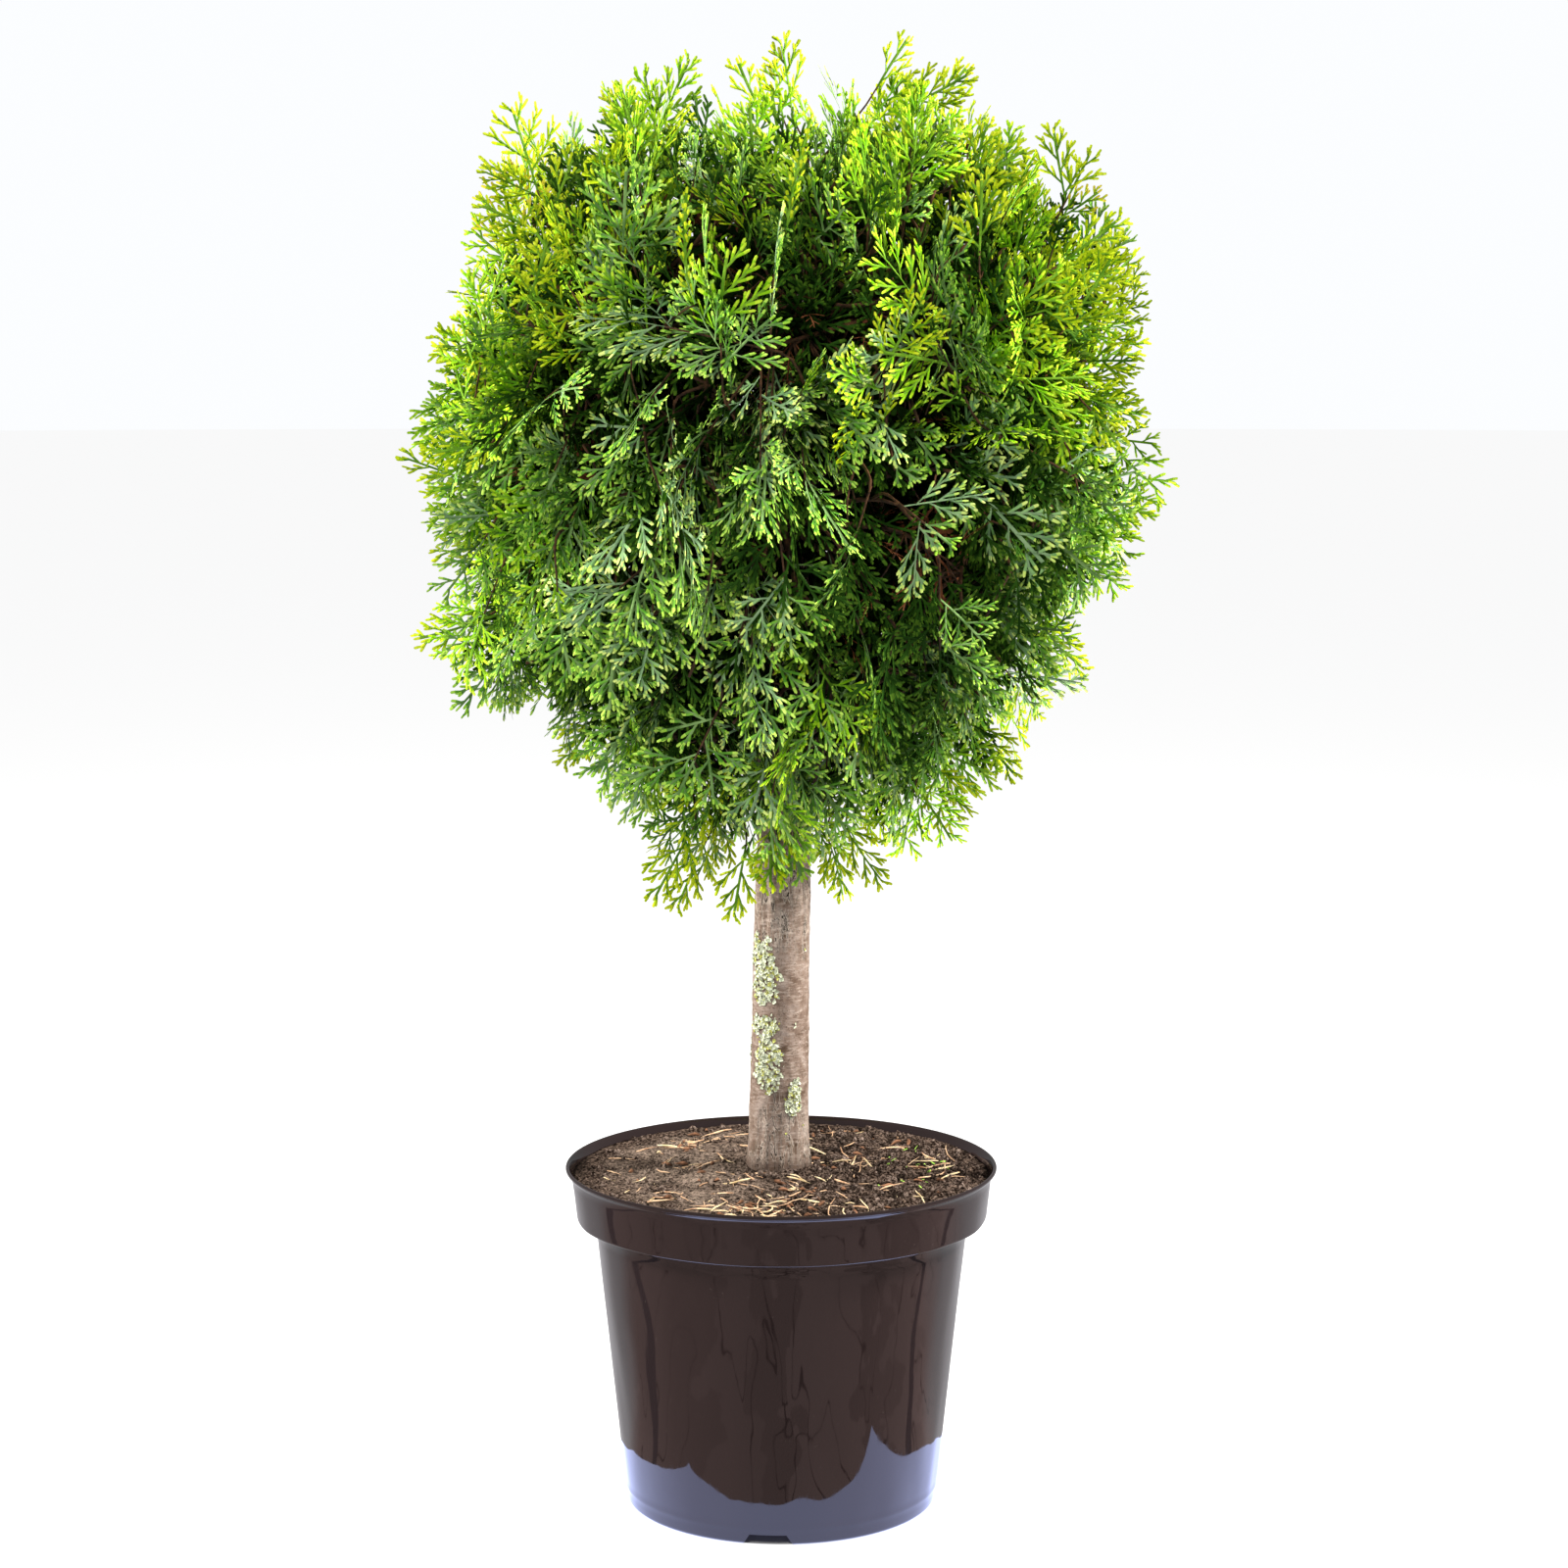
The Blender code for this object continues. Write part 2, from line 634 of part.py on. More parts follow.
def grow_twig(mass, tip, draw, twig_mesh, spray_meshes, limbs, collection):
    """One twig out of the core, with a spray at its end and others along its sides."""
    core = mass.core
    start = core.lerp(tip, TWIG_START)
    end = core.lerp(tip, TWIG_END)
    heading = (tip - core).normalized()
    if mass.room(end) < CELL_MARGIN * 4 or mass.room(start) < CELL_MARGIN * 4:
        return
    thick = TWIG_RADII[0] + LIMB_CLEARANCE
    if any(segment_gap(start, end, a, b) < radius + thick for a, b, radius in limbs):
        return
    side = heading.orthogonal()
    side.rotate(Matrix.Rotation(draw.uniform(0, math.tau), 3, heading))
    twig = bpy.data.objects.new("twig", twig_mesh)
    z = (end - start)
    x = side.normalized()
    y = z.normalized().cross(x)
    turn = Matrix((x, y, z)).transposed().to_4x4()
    twig.matrix_world = Matrix.Translation(start) @ turn
    collection.objects.link(twig)
    mesh = draw.choice(spray_meshes[:2])
    place_spray(mass, end - heading * SPRAY_SINK, tip, side, mesh, limbs, collection)
    for share, angle in SIDE_SPRAYS:
        root = start.lerp(end, share)
        lean = Matrix.Rotation(math.radians(angle + draw.uniform(-8, 8)), 3, side)
        leaning = lean @ heading
        reach = (tip - root).length * draw.uniform(1.0, 1.15)
        facing = heading.lerp(side, draw.uniform(-0.4, 0.4))
        mesh = draw.choice(spray_meshes[1:])
        place_spray(mass, root, root + leaning * reach, facing, mesh, limbs, collection)


def keep_one_body(mesh):
    """Drops loose scraps and sealed hollows, so that one closed body is left."""
    work = bmesh.new()
    work.from_mesh(mesh)
    bmesh.ops.triangulate(work, faces=work.faces)
    unseen, bodies = set(work.faces), []
    while unseen:
        front = [unseen.pop()]
        body = list(front)
        while front:
            face = front.pop()
            for edge in face.edges:
                for other in edge.link_faces:
                    if other in unseen:
                        unseen.remove(other)
                        front.append(other)
                        body.append(other)
        bodies.append(body)
    bodies.sort(key=len, reverse=True)
    scraps = [face for body in bodies[1:] for face in body]
    bmesh.ops.delete(work, geom=scraps, context="FACES")
    loose = [vertex for vertex in work.verts if not vertex.link_faces]
    bmesh.ops.delete(work, geom=loose, context="VERTS")
    work.to_mesh(mesh)
    work.free()


def join_mass(core, pieces):
    """Unites a core with its stem, twigs and sprays into one closed body."""
    union = core.modifiers.new("join", "BOOLEAN")
    union.operation = "UNION"
    union.operand_type = "COLLECTION"
    union.solver = "MANIFOLD"
    union.collection = pieces
    bpy.context.view_layer.update()
    graph = bpy.context.evaluated_depsgraph_get()
    mesh = bpy.data.meshes.new_from_object(core.evaluated_get(graph))
    core.modifiers.clear()
    finish = core.data.materials[0]
    core.data = mesh
    mesh.materials.clear()
    mesh.materials.append(finish)
    for obj in list(pieces.objects):
        bpy.data.objects.remove(obj)
    bpy.data.collections.remove(pieces)
    keep_one_body(mesh)


def plan_crown(parts):
    """Makes the boughs, and returns the masses and every limb as (start, end, radius)."""
    masses, limbs, ends = [], [], {}
    for tier, count, first, distance, height, bough_height, end_distance in TIERS:
        for i in range(count):
            azimuth = math.radians(first) + i * math.tau / count
            core = polar(azimuth, distance, height)
            if tier == "top":
                tip = trunk_point(TRUNK_TIP_HEIGHT)
                core.xy = tip.xy
                up = Vector((0, 0, 1))
                root = tip + up * GAP
                masses.append(Mass("foliage_top", tier, core, root, up, TRUNK_TIP_RADIUS))
                ends["foliage_top"] = 0
                continue
            path = bough_path(azimuth, bough_height, end_distance, core)
            shares = [j / (len(path) - 1) for j in range(len(path))]
            radii = [BOUGH_FOOT_RADIUS + (BOUGH_TIP_RADIUS - BOUGH_FOOT_RADIUS) * s for s in shares]
            limb(f"bough_{tier}_{i + 1}", path, radii, BOUGH_SIDES, BARK, parts)
            limbs += [(a, b, BOUGH_FOOT_RADIUS) for a, b in zip(path, path[1:])]
            heading = (path[-1] - path[-2]).normalized()
            root = path[-1] + heading * GAP
            name = f"foliage_{tier}_{i + 1}"
            masses.append(Mass(name, tier, core, root, heading, BOUGH_TIP_RADIUS))
            ends[name] = end_distance
    rise = (TRUNK_TIP_HEIGHT - trunk_foot()) / TRUNK_LIMB_STEPS
    heights = [trunk_foot() + rise * i for i in range(TRUNK_LIMB_STEPS + 1)]
    for low, high in zip(heights, heights[1:]):
        limbs.append((trunk_point(low), trunk_point(high), trunk_radius(low)))
    part_spaces(masses)
    return masses, limbs, ends


def add_stem(mass, collection):
    """The mass's stem: on from the limb's tip, across the small gap, into the core."""
    middle = mass.root + mass.heading * STEM_REACH
    points = [mass.root, middle, mass.core.lerp(middle, 0.25)]
    radii = [mass.stem_radius * share for share in STEM_TAPER]
    stem = limb("stem", points, radii, BOUGH_SIDES, BARK, bpy.context.scene.collection)
    bpy.context.view_layer.update()
    mesh = mesh_of(stem)
    bpy.data.objects.remove(stem)
    collection.objects.link(bpy.data.objects.new("stem", mesh))


def make_crown(parts):
    """Every bough, and every mass of foliage."""
    masses, limbs, ends = plan_crown(parts)
    twig_mesh, spray_meshes = shared_meshes()
    draw = random.Random(SEED)
    pieces = {mass.name: bpy.data.collections.new(mass.name) for mass in masses}
    for collection in pieces.values():
        bpy.context.scene.collection.children.link(collection)
    for mass in masses:
        add_stem(mass, pieces[mass.name])
    for tip in twig_tips():
        mass = min(masses, key=lambda m: (m.core - tip).length)
        grow_twig(
            mass, tip, draw, twig_mesh, spray_meshes, limbs, pieces[mass.name])
    for azimuth, height, distance in SHOOTS:
        tip = polar(math.radians(azimuth), distance, height)
        mass = min(masses, key=lambda m: (m.core - tip).length)
        root = mass.core.lerp(tip, TWIG_START)
        facing = polar(math.radians(azimuth), 1, 0.5)
        place_spray(mass, root, tip, facing, spray_meshes[2], limbs, pieces[mass.name])
    for mass in masses:
        core = make_core(mass, ends[mass.name], parts)
        join_mass(core, pieces[mass.name])


def main():
    clear_scene()
    parts = bpy.data.collections.new("potted_thuja")
    cutters = bpy.data.collections.new("cutters")
    for collection in (parts, cutters):
        bpy.context.scene.collection.children.link(collection)
    make_pot(parts, cutters)
    make_soil(parts)
    make_trunk(parts)
    make_crown(parts)


main()
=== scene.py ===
"""Looks of the potted thuja: pot, soil, bark, lichen and the crown of flat fan sprays.

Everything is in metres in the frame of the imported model: Z up, -Y the front, and the origin on
the ground under the middle of the pot.
"""

import json
import math
import random

import bmesh
import bpy
from mathutils import Matrix, Vector, kdtree, noise

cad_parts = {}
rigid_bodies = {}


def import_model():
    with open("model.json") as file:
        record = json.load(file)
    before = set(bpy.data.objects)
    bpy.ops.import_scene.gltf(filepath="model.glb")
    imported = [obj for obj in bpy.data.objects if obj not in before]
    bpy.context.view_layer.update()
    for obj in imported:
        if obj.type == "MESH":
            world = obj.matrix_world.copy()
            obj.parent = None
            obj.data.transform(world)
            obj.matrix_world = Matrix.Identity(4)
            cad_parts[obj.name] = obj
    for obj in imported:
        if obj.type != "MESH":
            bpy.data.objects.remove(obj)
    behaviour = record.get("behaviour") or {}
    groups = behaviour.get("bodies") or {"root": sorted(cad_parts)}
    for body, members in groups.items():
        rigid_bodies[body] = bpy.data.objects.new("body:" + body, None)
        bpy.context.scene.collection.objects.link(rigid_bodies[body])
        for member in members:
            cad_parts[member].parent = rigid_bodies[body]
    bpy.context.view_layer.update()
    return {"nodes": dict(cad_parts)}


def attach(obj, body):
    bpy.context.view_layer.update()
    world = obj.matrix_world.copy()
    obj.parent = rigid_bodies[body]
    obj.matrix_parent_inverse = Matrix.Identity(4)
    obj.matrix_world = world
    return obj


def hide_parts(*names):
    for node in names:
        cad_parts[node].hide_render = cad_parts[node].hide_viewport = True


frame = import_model()

MM = 0.001
SEED = 41

# Where the noise that shifts clods and sprays starts: unset, it would differ from run to run
DRIFT_SEED = 3
noise.seed_set(DRIFT_SEED)

# Camera at the photograph's place: the object's axis is 3 px left of the picture's middle
CAMERA_PLACE = (0.0025, -2.9505, 1.0181)
CAMERA_PITCH = math.radians(7.31)
CAMERA_LENS = 78.36

# Pot, as in the part's source
POT_HEIGHT = 0.302
LIP_RADIUS = 0.1903
LIP_DROP = 0.0075
BAND_TOP_RADIUS = 0.1855
BAND_FOOT_RADIUS = 0.1815
BAND_DROP = 0.046
BODY_TOP_RADIUS = 0.1650
BODY_FOOT_RADIUS = 0.1378
SHOULDER_DROP = 0.010
SHOULDER_SWELL = 0.0022
BASE_CHAMFER = 0.0050
CHAMFER_RISE = 0.0040
WALL = 0.0022
FLOOR = 0.0030
CHANNEL_COUNT = 4
CHANNEL_TURN = math.radians(-94.7)
CHANNEL_HEIGHT = 0.0095
CHANNEL_FOOT_WIDTH = 0.047
CHANNEL_ROOF_WIDTH = 0.032
CHANNEL_INNER_END = 0.070
DRAIN_RADIUS = 0.006
DRAIN_DISTANCE = 0.100

# What only the looks of the pot need: its roundings, its mould line as (height, how far it stands
# out), and how finely its shell is divided
LEDGE_ROUNDING = 0.0026
LIP_ROUNDING = 0.0017
MOULD_LINE = ((0.0165, 0.00005), (0.0150, 0.00035), (0.0135, 0.0))
WAVY_FROM_RADIUS = 0.12
POT_SEGMENTS = 208
POT_STEP = 5.5 * MM
CHANNEL_SEGMENTS = 96
DRAIN_SEGMENTS = 24

# Soil
SOIL_EDGE_DROP = 0.0100
SOIL_MOUND_DROP = 0.0035
SOIL_EDGE_RADIUS = 0.1826

# Its level top round the stem, how much higher it lies in front, and the heap against the stem
SOIL_TOP_RADIUS = 0.034
SOIL_FRONT_RISE = 0.0035
SOIL_COLLAR_RADIUS = 0.025
SOIL_COLLAR_RISE = 0.0030

# Its lumps, clods and crumbs: how large they are, and how high they stand in mm
SOIL_LUMPS = (0.030, 2.4)
SOIL_CLODS = (0.0125, 4.4)
SOIL_CRUMBS = (0.0052, 2.0)
SOIL_SEGMENTS = 340
SOIL_RINGS = 104

# The plug that fills the pot's mouth under it, as rings of (radius, height)
SOIL_PLUG = ((0.1810, 0.286), (0.1768, 0.2600), (0.1600, 0.2585), (0.1500, 0.200))

# Where litter lies on it: from the stem out to the rim for crumbs, and to the scraps' limit
LITTER_LEVEL = 0.287
LITTER_STEM = 0.028
LITTER_RIM = 0.178
SCRAPS_RIM = 0.160

# Trunk and boughs
TRUNK_FOOT = POT_HEIGHT - SOIL_MOUND_DROP + 0.0003
TRUNK_TIP_HEIGHT = 1.085
TRUNK_END = 0.007
TRUNK_FLARE = 0.0032
TRUNK_FLARE_HEIGHT = 0.022
TRUNK_FOOT_RADIUS = 0.0262
TRUNK_NECK_RADIUS = 0.0240
TRUNK_NECK_HEIGHT = 0.545
TRUNK_TIP_RADIUS = 0.0070
TRUNK_FOOT_X = -0.0022
TRUNK_LEAN = 0.0145
BOUGH_FOOT_RADIUS = 0.0075
BOUGH_TIP_RADIUS = 0.0048
BOUGH_COLLAR = 0.008
COLLAR_SWELL = 0.0022
BOUGH_SAG = 0.004

# How finely the trunk's bark is divided: round it, and up its clear stem and its top
TRUNK_SEGMENTS = 120
STEM_STEP = 0.0012
STEM_STEPS = 250
TOP_STEP = 0.0045
TOP_STEPS = 109

# Bark is torn above the first height, just below the crown, and below the second, at the foot
TORN_ABOVE = 0.480
TORN_BELOW = 0.372
TORN_FADE = 0.030

# Crown
WAIST_HEIGHT = 0.900
WAIST_RADIUS = 0.318
CROWN_TOP = 1.246
CROWN_FOOT = 0.540
TOP_SQUARENESS = 2.8
FOOT_SQUARENESS = 1.75
HEART = Vector((0.004, 0.0, WAIST_HEIGHT))
TUFTS = (
    (180, 1.205, 0.034), (180, 1.090, -0.026), (180, 1.000, -0.012), (180, 0.920, 0.010),
    (180, 0.850, -0.022), (180, 0.745, 0.036), (180, 0.655, -0.022), (0, 1.240, 0.020),
    (0, 1.140, 0.020), (0, 0.985, -0.028), (0, 0.880, 0.004), (0, 0.768, -0.030), (0, 0.690, -0.010),
    (-90, 1.010, -0.016), (-75, 0.800, 0.014), (-120, 0.700, 0.012), (90, 0.960, 0.014),
    (70, 0.740, -0.014), (110, 1.120, 0.012),
)
TUFT_ARC = math.radians(42)
TUFT_HEIGHT = 0.034
TIERS = (
    ("top", 1, 0, 0.000, 1.135, None, None),
    ("upper", 4, -60, 0.178, 1.050, 0.985, 0.082),
    ("middle", 5, -90, 0.185, 0.885, 0.850, 0.082),
    ("lower", 4, -68, 0.120, 0.710, 0.665, 0.050),
)

# Twigs in the crown, from the masses' stems to the sprays
TWIG_COUNT = 270
TWIG_REACH = 0.80
TWIG_RADII = (0.0034, 0.0013)
BRANCH_RADII = (0.0017, 0.0009)
LINK_RADIUS = 0.0012
BARK_GAP = 0.006

# Outer branches, and the single sprays of each layer below: their count, and how deep they lie as
# a share of the crown's reach
BRANCH_COUNT = 450
BRANCH_REACH = 1.025
CROWN_CORNER = 0.400
FOLD_DEPTH = 0.036
BRANCH_STEP = 0.018
BRANCH_SPRAYS = (2, 5)
LAYERS = (("middle", 780, 0.905), ("inner", 960, 0.775), ("heart", 460, 0.540))

# No tip stands further out than this share of the reach, and no spray's foot lies further out
# than the second
SKIN_LIMIT = 1.020
FOOT_LIMIT = 0.93

# How large sprays are, as shares of their kind's length, and how far side sprays turn, in degrees
TIP_SIZES = (0.92, 1.12)
SIDE_SIZES = (0.80, 1.06)
SINGLE_SIZES = (0.86, 1.10)
SHOOT_SIZES = (0.95, 1.10)
DRY_SIZES = (0.6, 0.9)
SIDE_TURN = (34, 54)
SIDE_ROLL = 16
OWN_ROLL = 38

# Sprays near one another drift the same way, and stand on edge together, over such stretches
DRIFT_SIZE = 0.075
DRIFT_SHARE = 0.62
CLUMP_SIZE = 0.090

# Which fans grow above and below the crown's shoulder: a kind, and its chance added to those before
SHOULDER = 1.12
UPPER_FANS = (("upright", 0.55), ("broad", 0.78), ("small", 1.0))
LOWER_FANS = (("broad", 0.62), ("upright", 0.80), ("small", 1.0))

# A spray's tint goes by its lightness, partly painted light and shade and partly yellow young
# growth. In the top it is either dark or at least fresh green.
SUNLIT_ABOVE = 0.36
FRESH_ABOVE = 0.04
BLUISH_BELOW = -0.14
DIM_BELOW = -0.66
TOP_HEIGHT = 1.16
TOP_DARK_BELOW = -0.24
TOP_DARK = -0.70
TOP_FRESH = 0.06
# Sprays in the crown's folds get painted shade: their lightness is kept no higher than FOLD_LIGHT
FOLD_LUMP = 0.24
FOLD_LIGHT = -0.05
# Most of the middle layer gets the dim tint as painted shade
MIDDLE_DIM_SHARE = 0.86
BLUISH_SHARE = 0.37
AMBER_SHARE = 0.10
AMBER_ABOVE = 1.06
DEAD_SHARE = 0.02

# A joined piece of the crown stays below this many triangles
MOST_TRIANGLES = 190000

# Branchlets, in mm: the paler tip, the shortest one made, the usual finger, and the blades' widths
TIP_LENGTH = 5.2
SHORTEST_BRANCHLET = 5.6
FINGER = 19.0
BLADE_WIDTHS = (2.3, 2.1, 2.3, 2.3)

# A fan's forks, level by level: pitch in mm, angle, length share, how it tapers, bare foot share
LOBES = (6.4, 28, 0.235, 0.30, 0.34)
BROAD_FORKS = (None, (9.8, 52, 0.70, 0.52, 0.04), (5.0, 30, 0.37, 0.22, 0.12), LOBES)
UPRIGHT_FORKS = (None, (9.0, 38, 0.58, 0.54, 0.05), (5.0, 28, 0.36, 0.22, 0.12), LOBES)
SMALL_FORKS = (None, (7.6, 46, 0.68, 0.54, 0.04), (5.0, 29, 0.36, 0.22, 0.12), LOBES)
WHIP_FORKS = (None, (5.0, 26, 0.18, 0.40, 0.10), (3.6, 32, 0.30, 0.60, 0.20))
INNER_FORKS = (None, (14.0, 50, 0.64, 0.70, 0.05), (8.5, 38, 0.38, 0.24, 0.16))
DRY_FORKS = (None, (7.0, 42, 0.42, 0.50, 0.15))

# Each kind of fan: its forks, its blades' widths in mm, how far it drapes and curls, its steps
SPRAY_SHAPES = {
    "broad": (BROAD_FORKS, BLADE_WIDTHS, 0.16, 0.22, (5, 3, 1, 1)),
    "upright": (UPRIGHT_FORKS, BLADE_WIDTHS, 0.05, 0.22, (5, 2, 1, 1)),
    "small": (SMALL_FORKS, BLADE_WIDTHS, 0.12, 0.22, (4, 2, 1, 1)),
    "whip": (WHIP_FORKS, BLADE_WIDTHS, 0.06, 0.20, (7, 1, 1)),
    "inner": (INNER_FORKS, (3.2, 3.8, 4.4), 0.16, 0.30, (3, 1, 1)),
    "dry": (DRY_FORKS, (1.3, 1.0), 0.40, 0.30, (5, 2)),
}
SPRAY_KINDS = (
    ("broad", 76), ("broad", 68), ("broad", 61), ("broad", 72), ("broad", 55), ("upright", 72),
    ("upright", 64), ("upright", 56), ("small", 44), ("small", 37), ("whip", 98), ("inner", 84),
    ("inner", 74), ("dry", 62),
)

# Upward share of the growth at each height: the crown's sides droop and its top stands up
LIFTS = (
    (0.54, -1.7), (0.70, -1.4), (0.86, -1.0), (0.95, -0.55), (1.03, 0.1), (1.10, 0.9), (1.25, 1.7),
)

# Dark hollows where few sprays grow, as (azimuth, height, radius)
HOLLOWS = (
    (-80, 1.059, 0.034), (-96, 1.013, 0.026), (-74, 0.867, 0.030), (-62, 0.840, 0.030),
    (-86, 0.752, 0.022), (-98, 0.950, 0.022), (-104, 0.830, 0.022), (-92, 1.120, 0.022),
    (35, 0.930, 0.030), (80, 1.030, 0.028), (120, 0.880, 0.030), (160, 0.980, 0.026),
    (-150, 0.900, 0.026), (5, 0.800, 0.024), (95, 0.760, 0.026), (-20, 1.090, 0.022),
)

# How deep a hollow's middle lies as a share of the reach, how much it spreads, and the dry brown
# sprays that are left in each
HOLLOW_DEPTH = 0.95
HOLLOW_SPREAD = 1.2
DRY_SPRAYS = 5
DRY_DEPTHS = (0.68, 0.76)

# Where the crown's sprays are lighter or darker, as painted light and shade and as young yellow or
# old dark growth: azimuth, height, amount
LIGHT_AND_GROWTH_AREAS = (
    (180, 1.17, 0.66), (0, 1.15, 0.72), (-90, 1.22, -0.32), (-90, 1.04, -0.22), (180, 0.96, 0.14),
    (0, 0.95, 0.34), (180, 0.74, -0.16), (-55, 0.76, -0.60), (-90, 0.86, -0.36), (90, 1.16, 0.40),
    (90, 0.90, 0.10), (-95, 0.68, -0.15),
)
LIGHT_AND_GROWTH_ARC = math.radians(48)
LIGHT_AND_GROWTH_HEIGHT = 0.11

# Long bright shoots that stand proud, as (azimuth, height, distance, lean to the side, rise). The
# steepest ones are whips.
WHIP_RISE = 1.1
SHOOTS = (
    (-20, 1.278, 0.112, 0.1, 1.0), (-18, 1.250, 0.106, 0.1, 1.0), (10, 1.262, 0.160, -0.1, 1.0),
    (-80, 1.274, 0.020, -0.2, 1.0), (160, 1.262, 0.045, 0.1, 1.0), (185, 1.232, 0.150, 0.3, 1.0),
    (12, 1.112, 0.305, 0.0, 0.6),
    (-8, 1.025, 0.309, 0.1, 0.3), (4, 0.880, 0.322, 0.0, 0.1), (174, 1.030, 0.300, 0.0, 0.5),
    (186, 0.925, 0.325, 0.0, 0.2), (172, 0.835, 0.307, 0.1, -0.2), (188, 0.765, 0.316, 0.0, -0.2),
    (6, 0.735, 0.268, 0.0, -0.5), (-10, 0.648, 0.204, 0.0, -0.7), (170, 0.652, 0.196, 0.0, -0.7),
    (-160, 0.536, 0.098, 0.1, -1.0), (95, 1.266, 0.070, 0.1, 1.0), (60, 0.905, 0.325, 0.0, 0.2),
    (-150, 0.548, 0.128, 0.0, -0.8), (-135, 0.530, 0.060, 0.2, -1.2), (-40, 0.546, 0.078, 0.0, -1.1),
    (-25, 0.556, 0.094, 0.1, -0.9), (150, 0.545, 0.090, 0.0, -1.0), (40, 0.545, 0.080, 0.0, -1.0),
    (-100, 0.560, 0.072, 0.0, -1.0), (-107, 1.135, 0.300, -0.1, 1.2), (-87, 1.195, 0.262, 0.1, 1.2),
    (-124, 1.100, 0.318, 0.9, 0.9), (-58, 1.150, 0.300, -0.3, 1.1), (130, 1.120, 0.312, 0.4, 0.9),
    (40, 1.165, 0.290, -0.2, 1.2),
)

# Lichen on the trunk: the heights between which it grows, and its patches as (azimuth, height,
# half arc in degrees, half height)
LICHEN_ZONE = (0.318, 0.545)
LICHEN_PATCHES = (
    (-126, 0.474, 40, 0.033), (-126, 0.429, 42, 0.0125), (-118, 0.392, 42, 0.027),
    (-62, 0.364, 19, 0.020), (-150, 0.497, 22, 0.014), (60, 0.440, 30, 0.030),
    (150, 0.400, 26, 0.022),
)


def linear(code, alpha=1.0):
    """An sRGB hex colour as linear red, green, blue and alpha."""
    channels = [int(code[i:i + 2], 16) / 255 for i in (1, 3, 5)]
    return (*[c / 12.92 if c <= 0.04045 else ((c + 0.055) / 1.055) ** 2.4 for c in channels], alpha)


def fill(tree, node, **inputs):
    """Fills a node's inputs with values, sockets or nodes: a node gives its first live output.

    An input goes by its label, or by "i" and its place among the inputs.
    """
    for name, value in inputs.items():
        key = int(name[1:]) if name[0] == "i" and name[1:].isdigit() else name.replace("_", " ")
        socket = node.inputs[key]
        if isinstance(value, bpy.types.Node):
            value = next(output for output in value.outputs if output.enabled)
        if isinstance(value, bpy.types.NodeSocket):
            tree.links.new(value, socket)
        else:
            socket.default_value = value


def add_node(tree, kind, settings=(), **inputs):
    """Adds a node, sets its properties and fills its inputs."""
    node = tree.nodes.new(kind)
    for name, value in dict(settings).items():
        setattr(node, name, value)
    fill(tree, node, **inputs)
    return node


def surface(name, base, roughness, **shader_inputs):
    """A material with a Principled shader, and the two things that patterns need from it."""
    made = bpy.data.materials.new(name)
    made.use_nodes = True
    shader = made.node_tree.nodes["Principled BSDF"]
    fill(made.node_tree, shader, Base_Color=linear(base), Roughness=roughness, **shader_inputs)
    made.diffuse_color = linear(base)
    return made, made.node_tree, shader


def clipped(value):
    """A value kept between 0 and 1."""
    return min(1, max(0, value))


def turn_from(degrees, azimuth):
    """The turn from an azimuth in degrees to one in radians, the short way round."""
    return (azimuth - math.radians(degrees) + math.pi) % math.tau - math.pi


def shaken(draw, spread):
    """A small random offset, alike in every direction."""
    return Vector([draw.gauss(0, spread) for _ in range(3)])


def polar(azimuth, distance, height):
    """A point from its azimuth in radians, distance from the Z axis and height."""
    return Vector((math.cos(azimuth) * distance, math.sin(azimuth) * distance, height))


def mesh_piece(name, vertices, faces, material, smooth=True):
    """A mesh object made from arrays of vertices and faces."""
    mesh = bpy.data.meshes.new(name)
    mesh.from_pydata(vertices, [], faces)
    if material:
        mesh.materials.append(material)
    if smooth:
        mesh.shade_smooth()
    mesh.update()
    obj = bpy.data.objects.new(name, mesh)
    bpy.context.scene.collection.objects.link(obj)
    return obj


def ring_faces(rings, segments, first=0, flat=False):
    """The quads between rings of points that follow one another, stacked up or lying flat."""
    faces = []
    for low in range(first, first + (rings - 1) * segments, segments):
        high = low + segments
        for i in range(segments):
            j = (i + 1) % segments
            faces.append(
                (low + i, high + i, high + j, low + j) if flat else
                (low + i, low + j, high + j, high + i))
    return faces


def disc_faces(rings, segments):
    """The faces of a flat disc: triangles round its middle point, then rings of quads."""
    middle = [(0, 1 + i, 1 + (i + 1) % segments) for i in range(segments)]
    return middle + ring_faces(rings, segments, first=1, flat=True)


def write_shares(mesh, name, values):
    """Gives a mesh one number for each point, which materials and trees of nodes read."""
    mesh.attributes.new(name, "FLOAT", "POINT").data.foreach_set("value", values)


def turned_out(mesh):
    """Turns a closed mesh's faces outwards."""
    work = bmesh.new()
    work.from_mesh(mesh)
    bmesh.ops.recalc_face_normals(work, faces=work.faces)
    work.to_mesh(mesh)
    work.free()


def finish_piece(obj, slot, *nodes):
    """Puts a finished piece on the part's one body and hides the nodes it replaces. The slot is not used.
    """
    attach(obj, "root")
    if nodes:
        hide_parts(*nodes)
    return obj


def applied(obj):
    """The object's evaluated mesh as a plain mesh, with its modifiers gone."""
    bpy.context.view_layer.update()
    graph = bpy.context.evaluated_depsgraph_get()
    mesh = bpy.data.meshes.new_from_object(obj.evaluated_get(graph))
    obj.modifiers.clear()
    obj.data = mesh
    return obj


# Finishes

# Settings that many nodes share
COLOURS = {"data_type": "RGBA"}
TIMES = {"operation": "MULTIPLY"}
TIMES_PLUS = {"operation": "MULTIPLY_ADD"}
LARGER = {"operation": "MAXIMUM"}
INVERTED = {"invert": True}


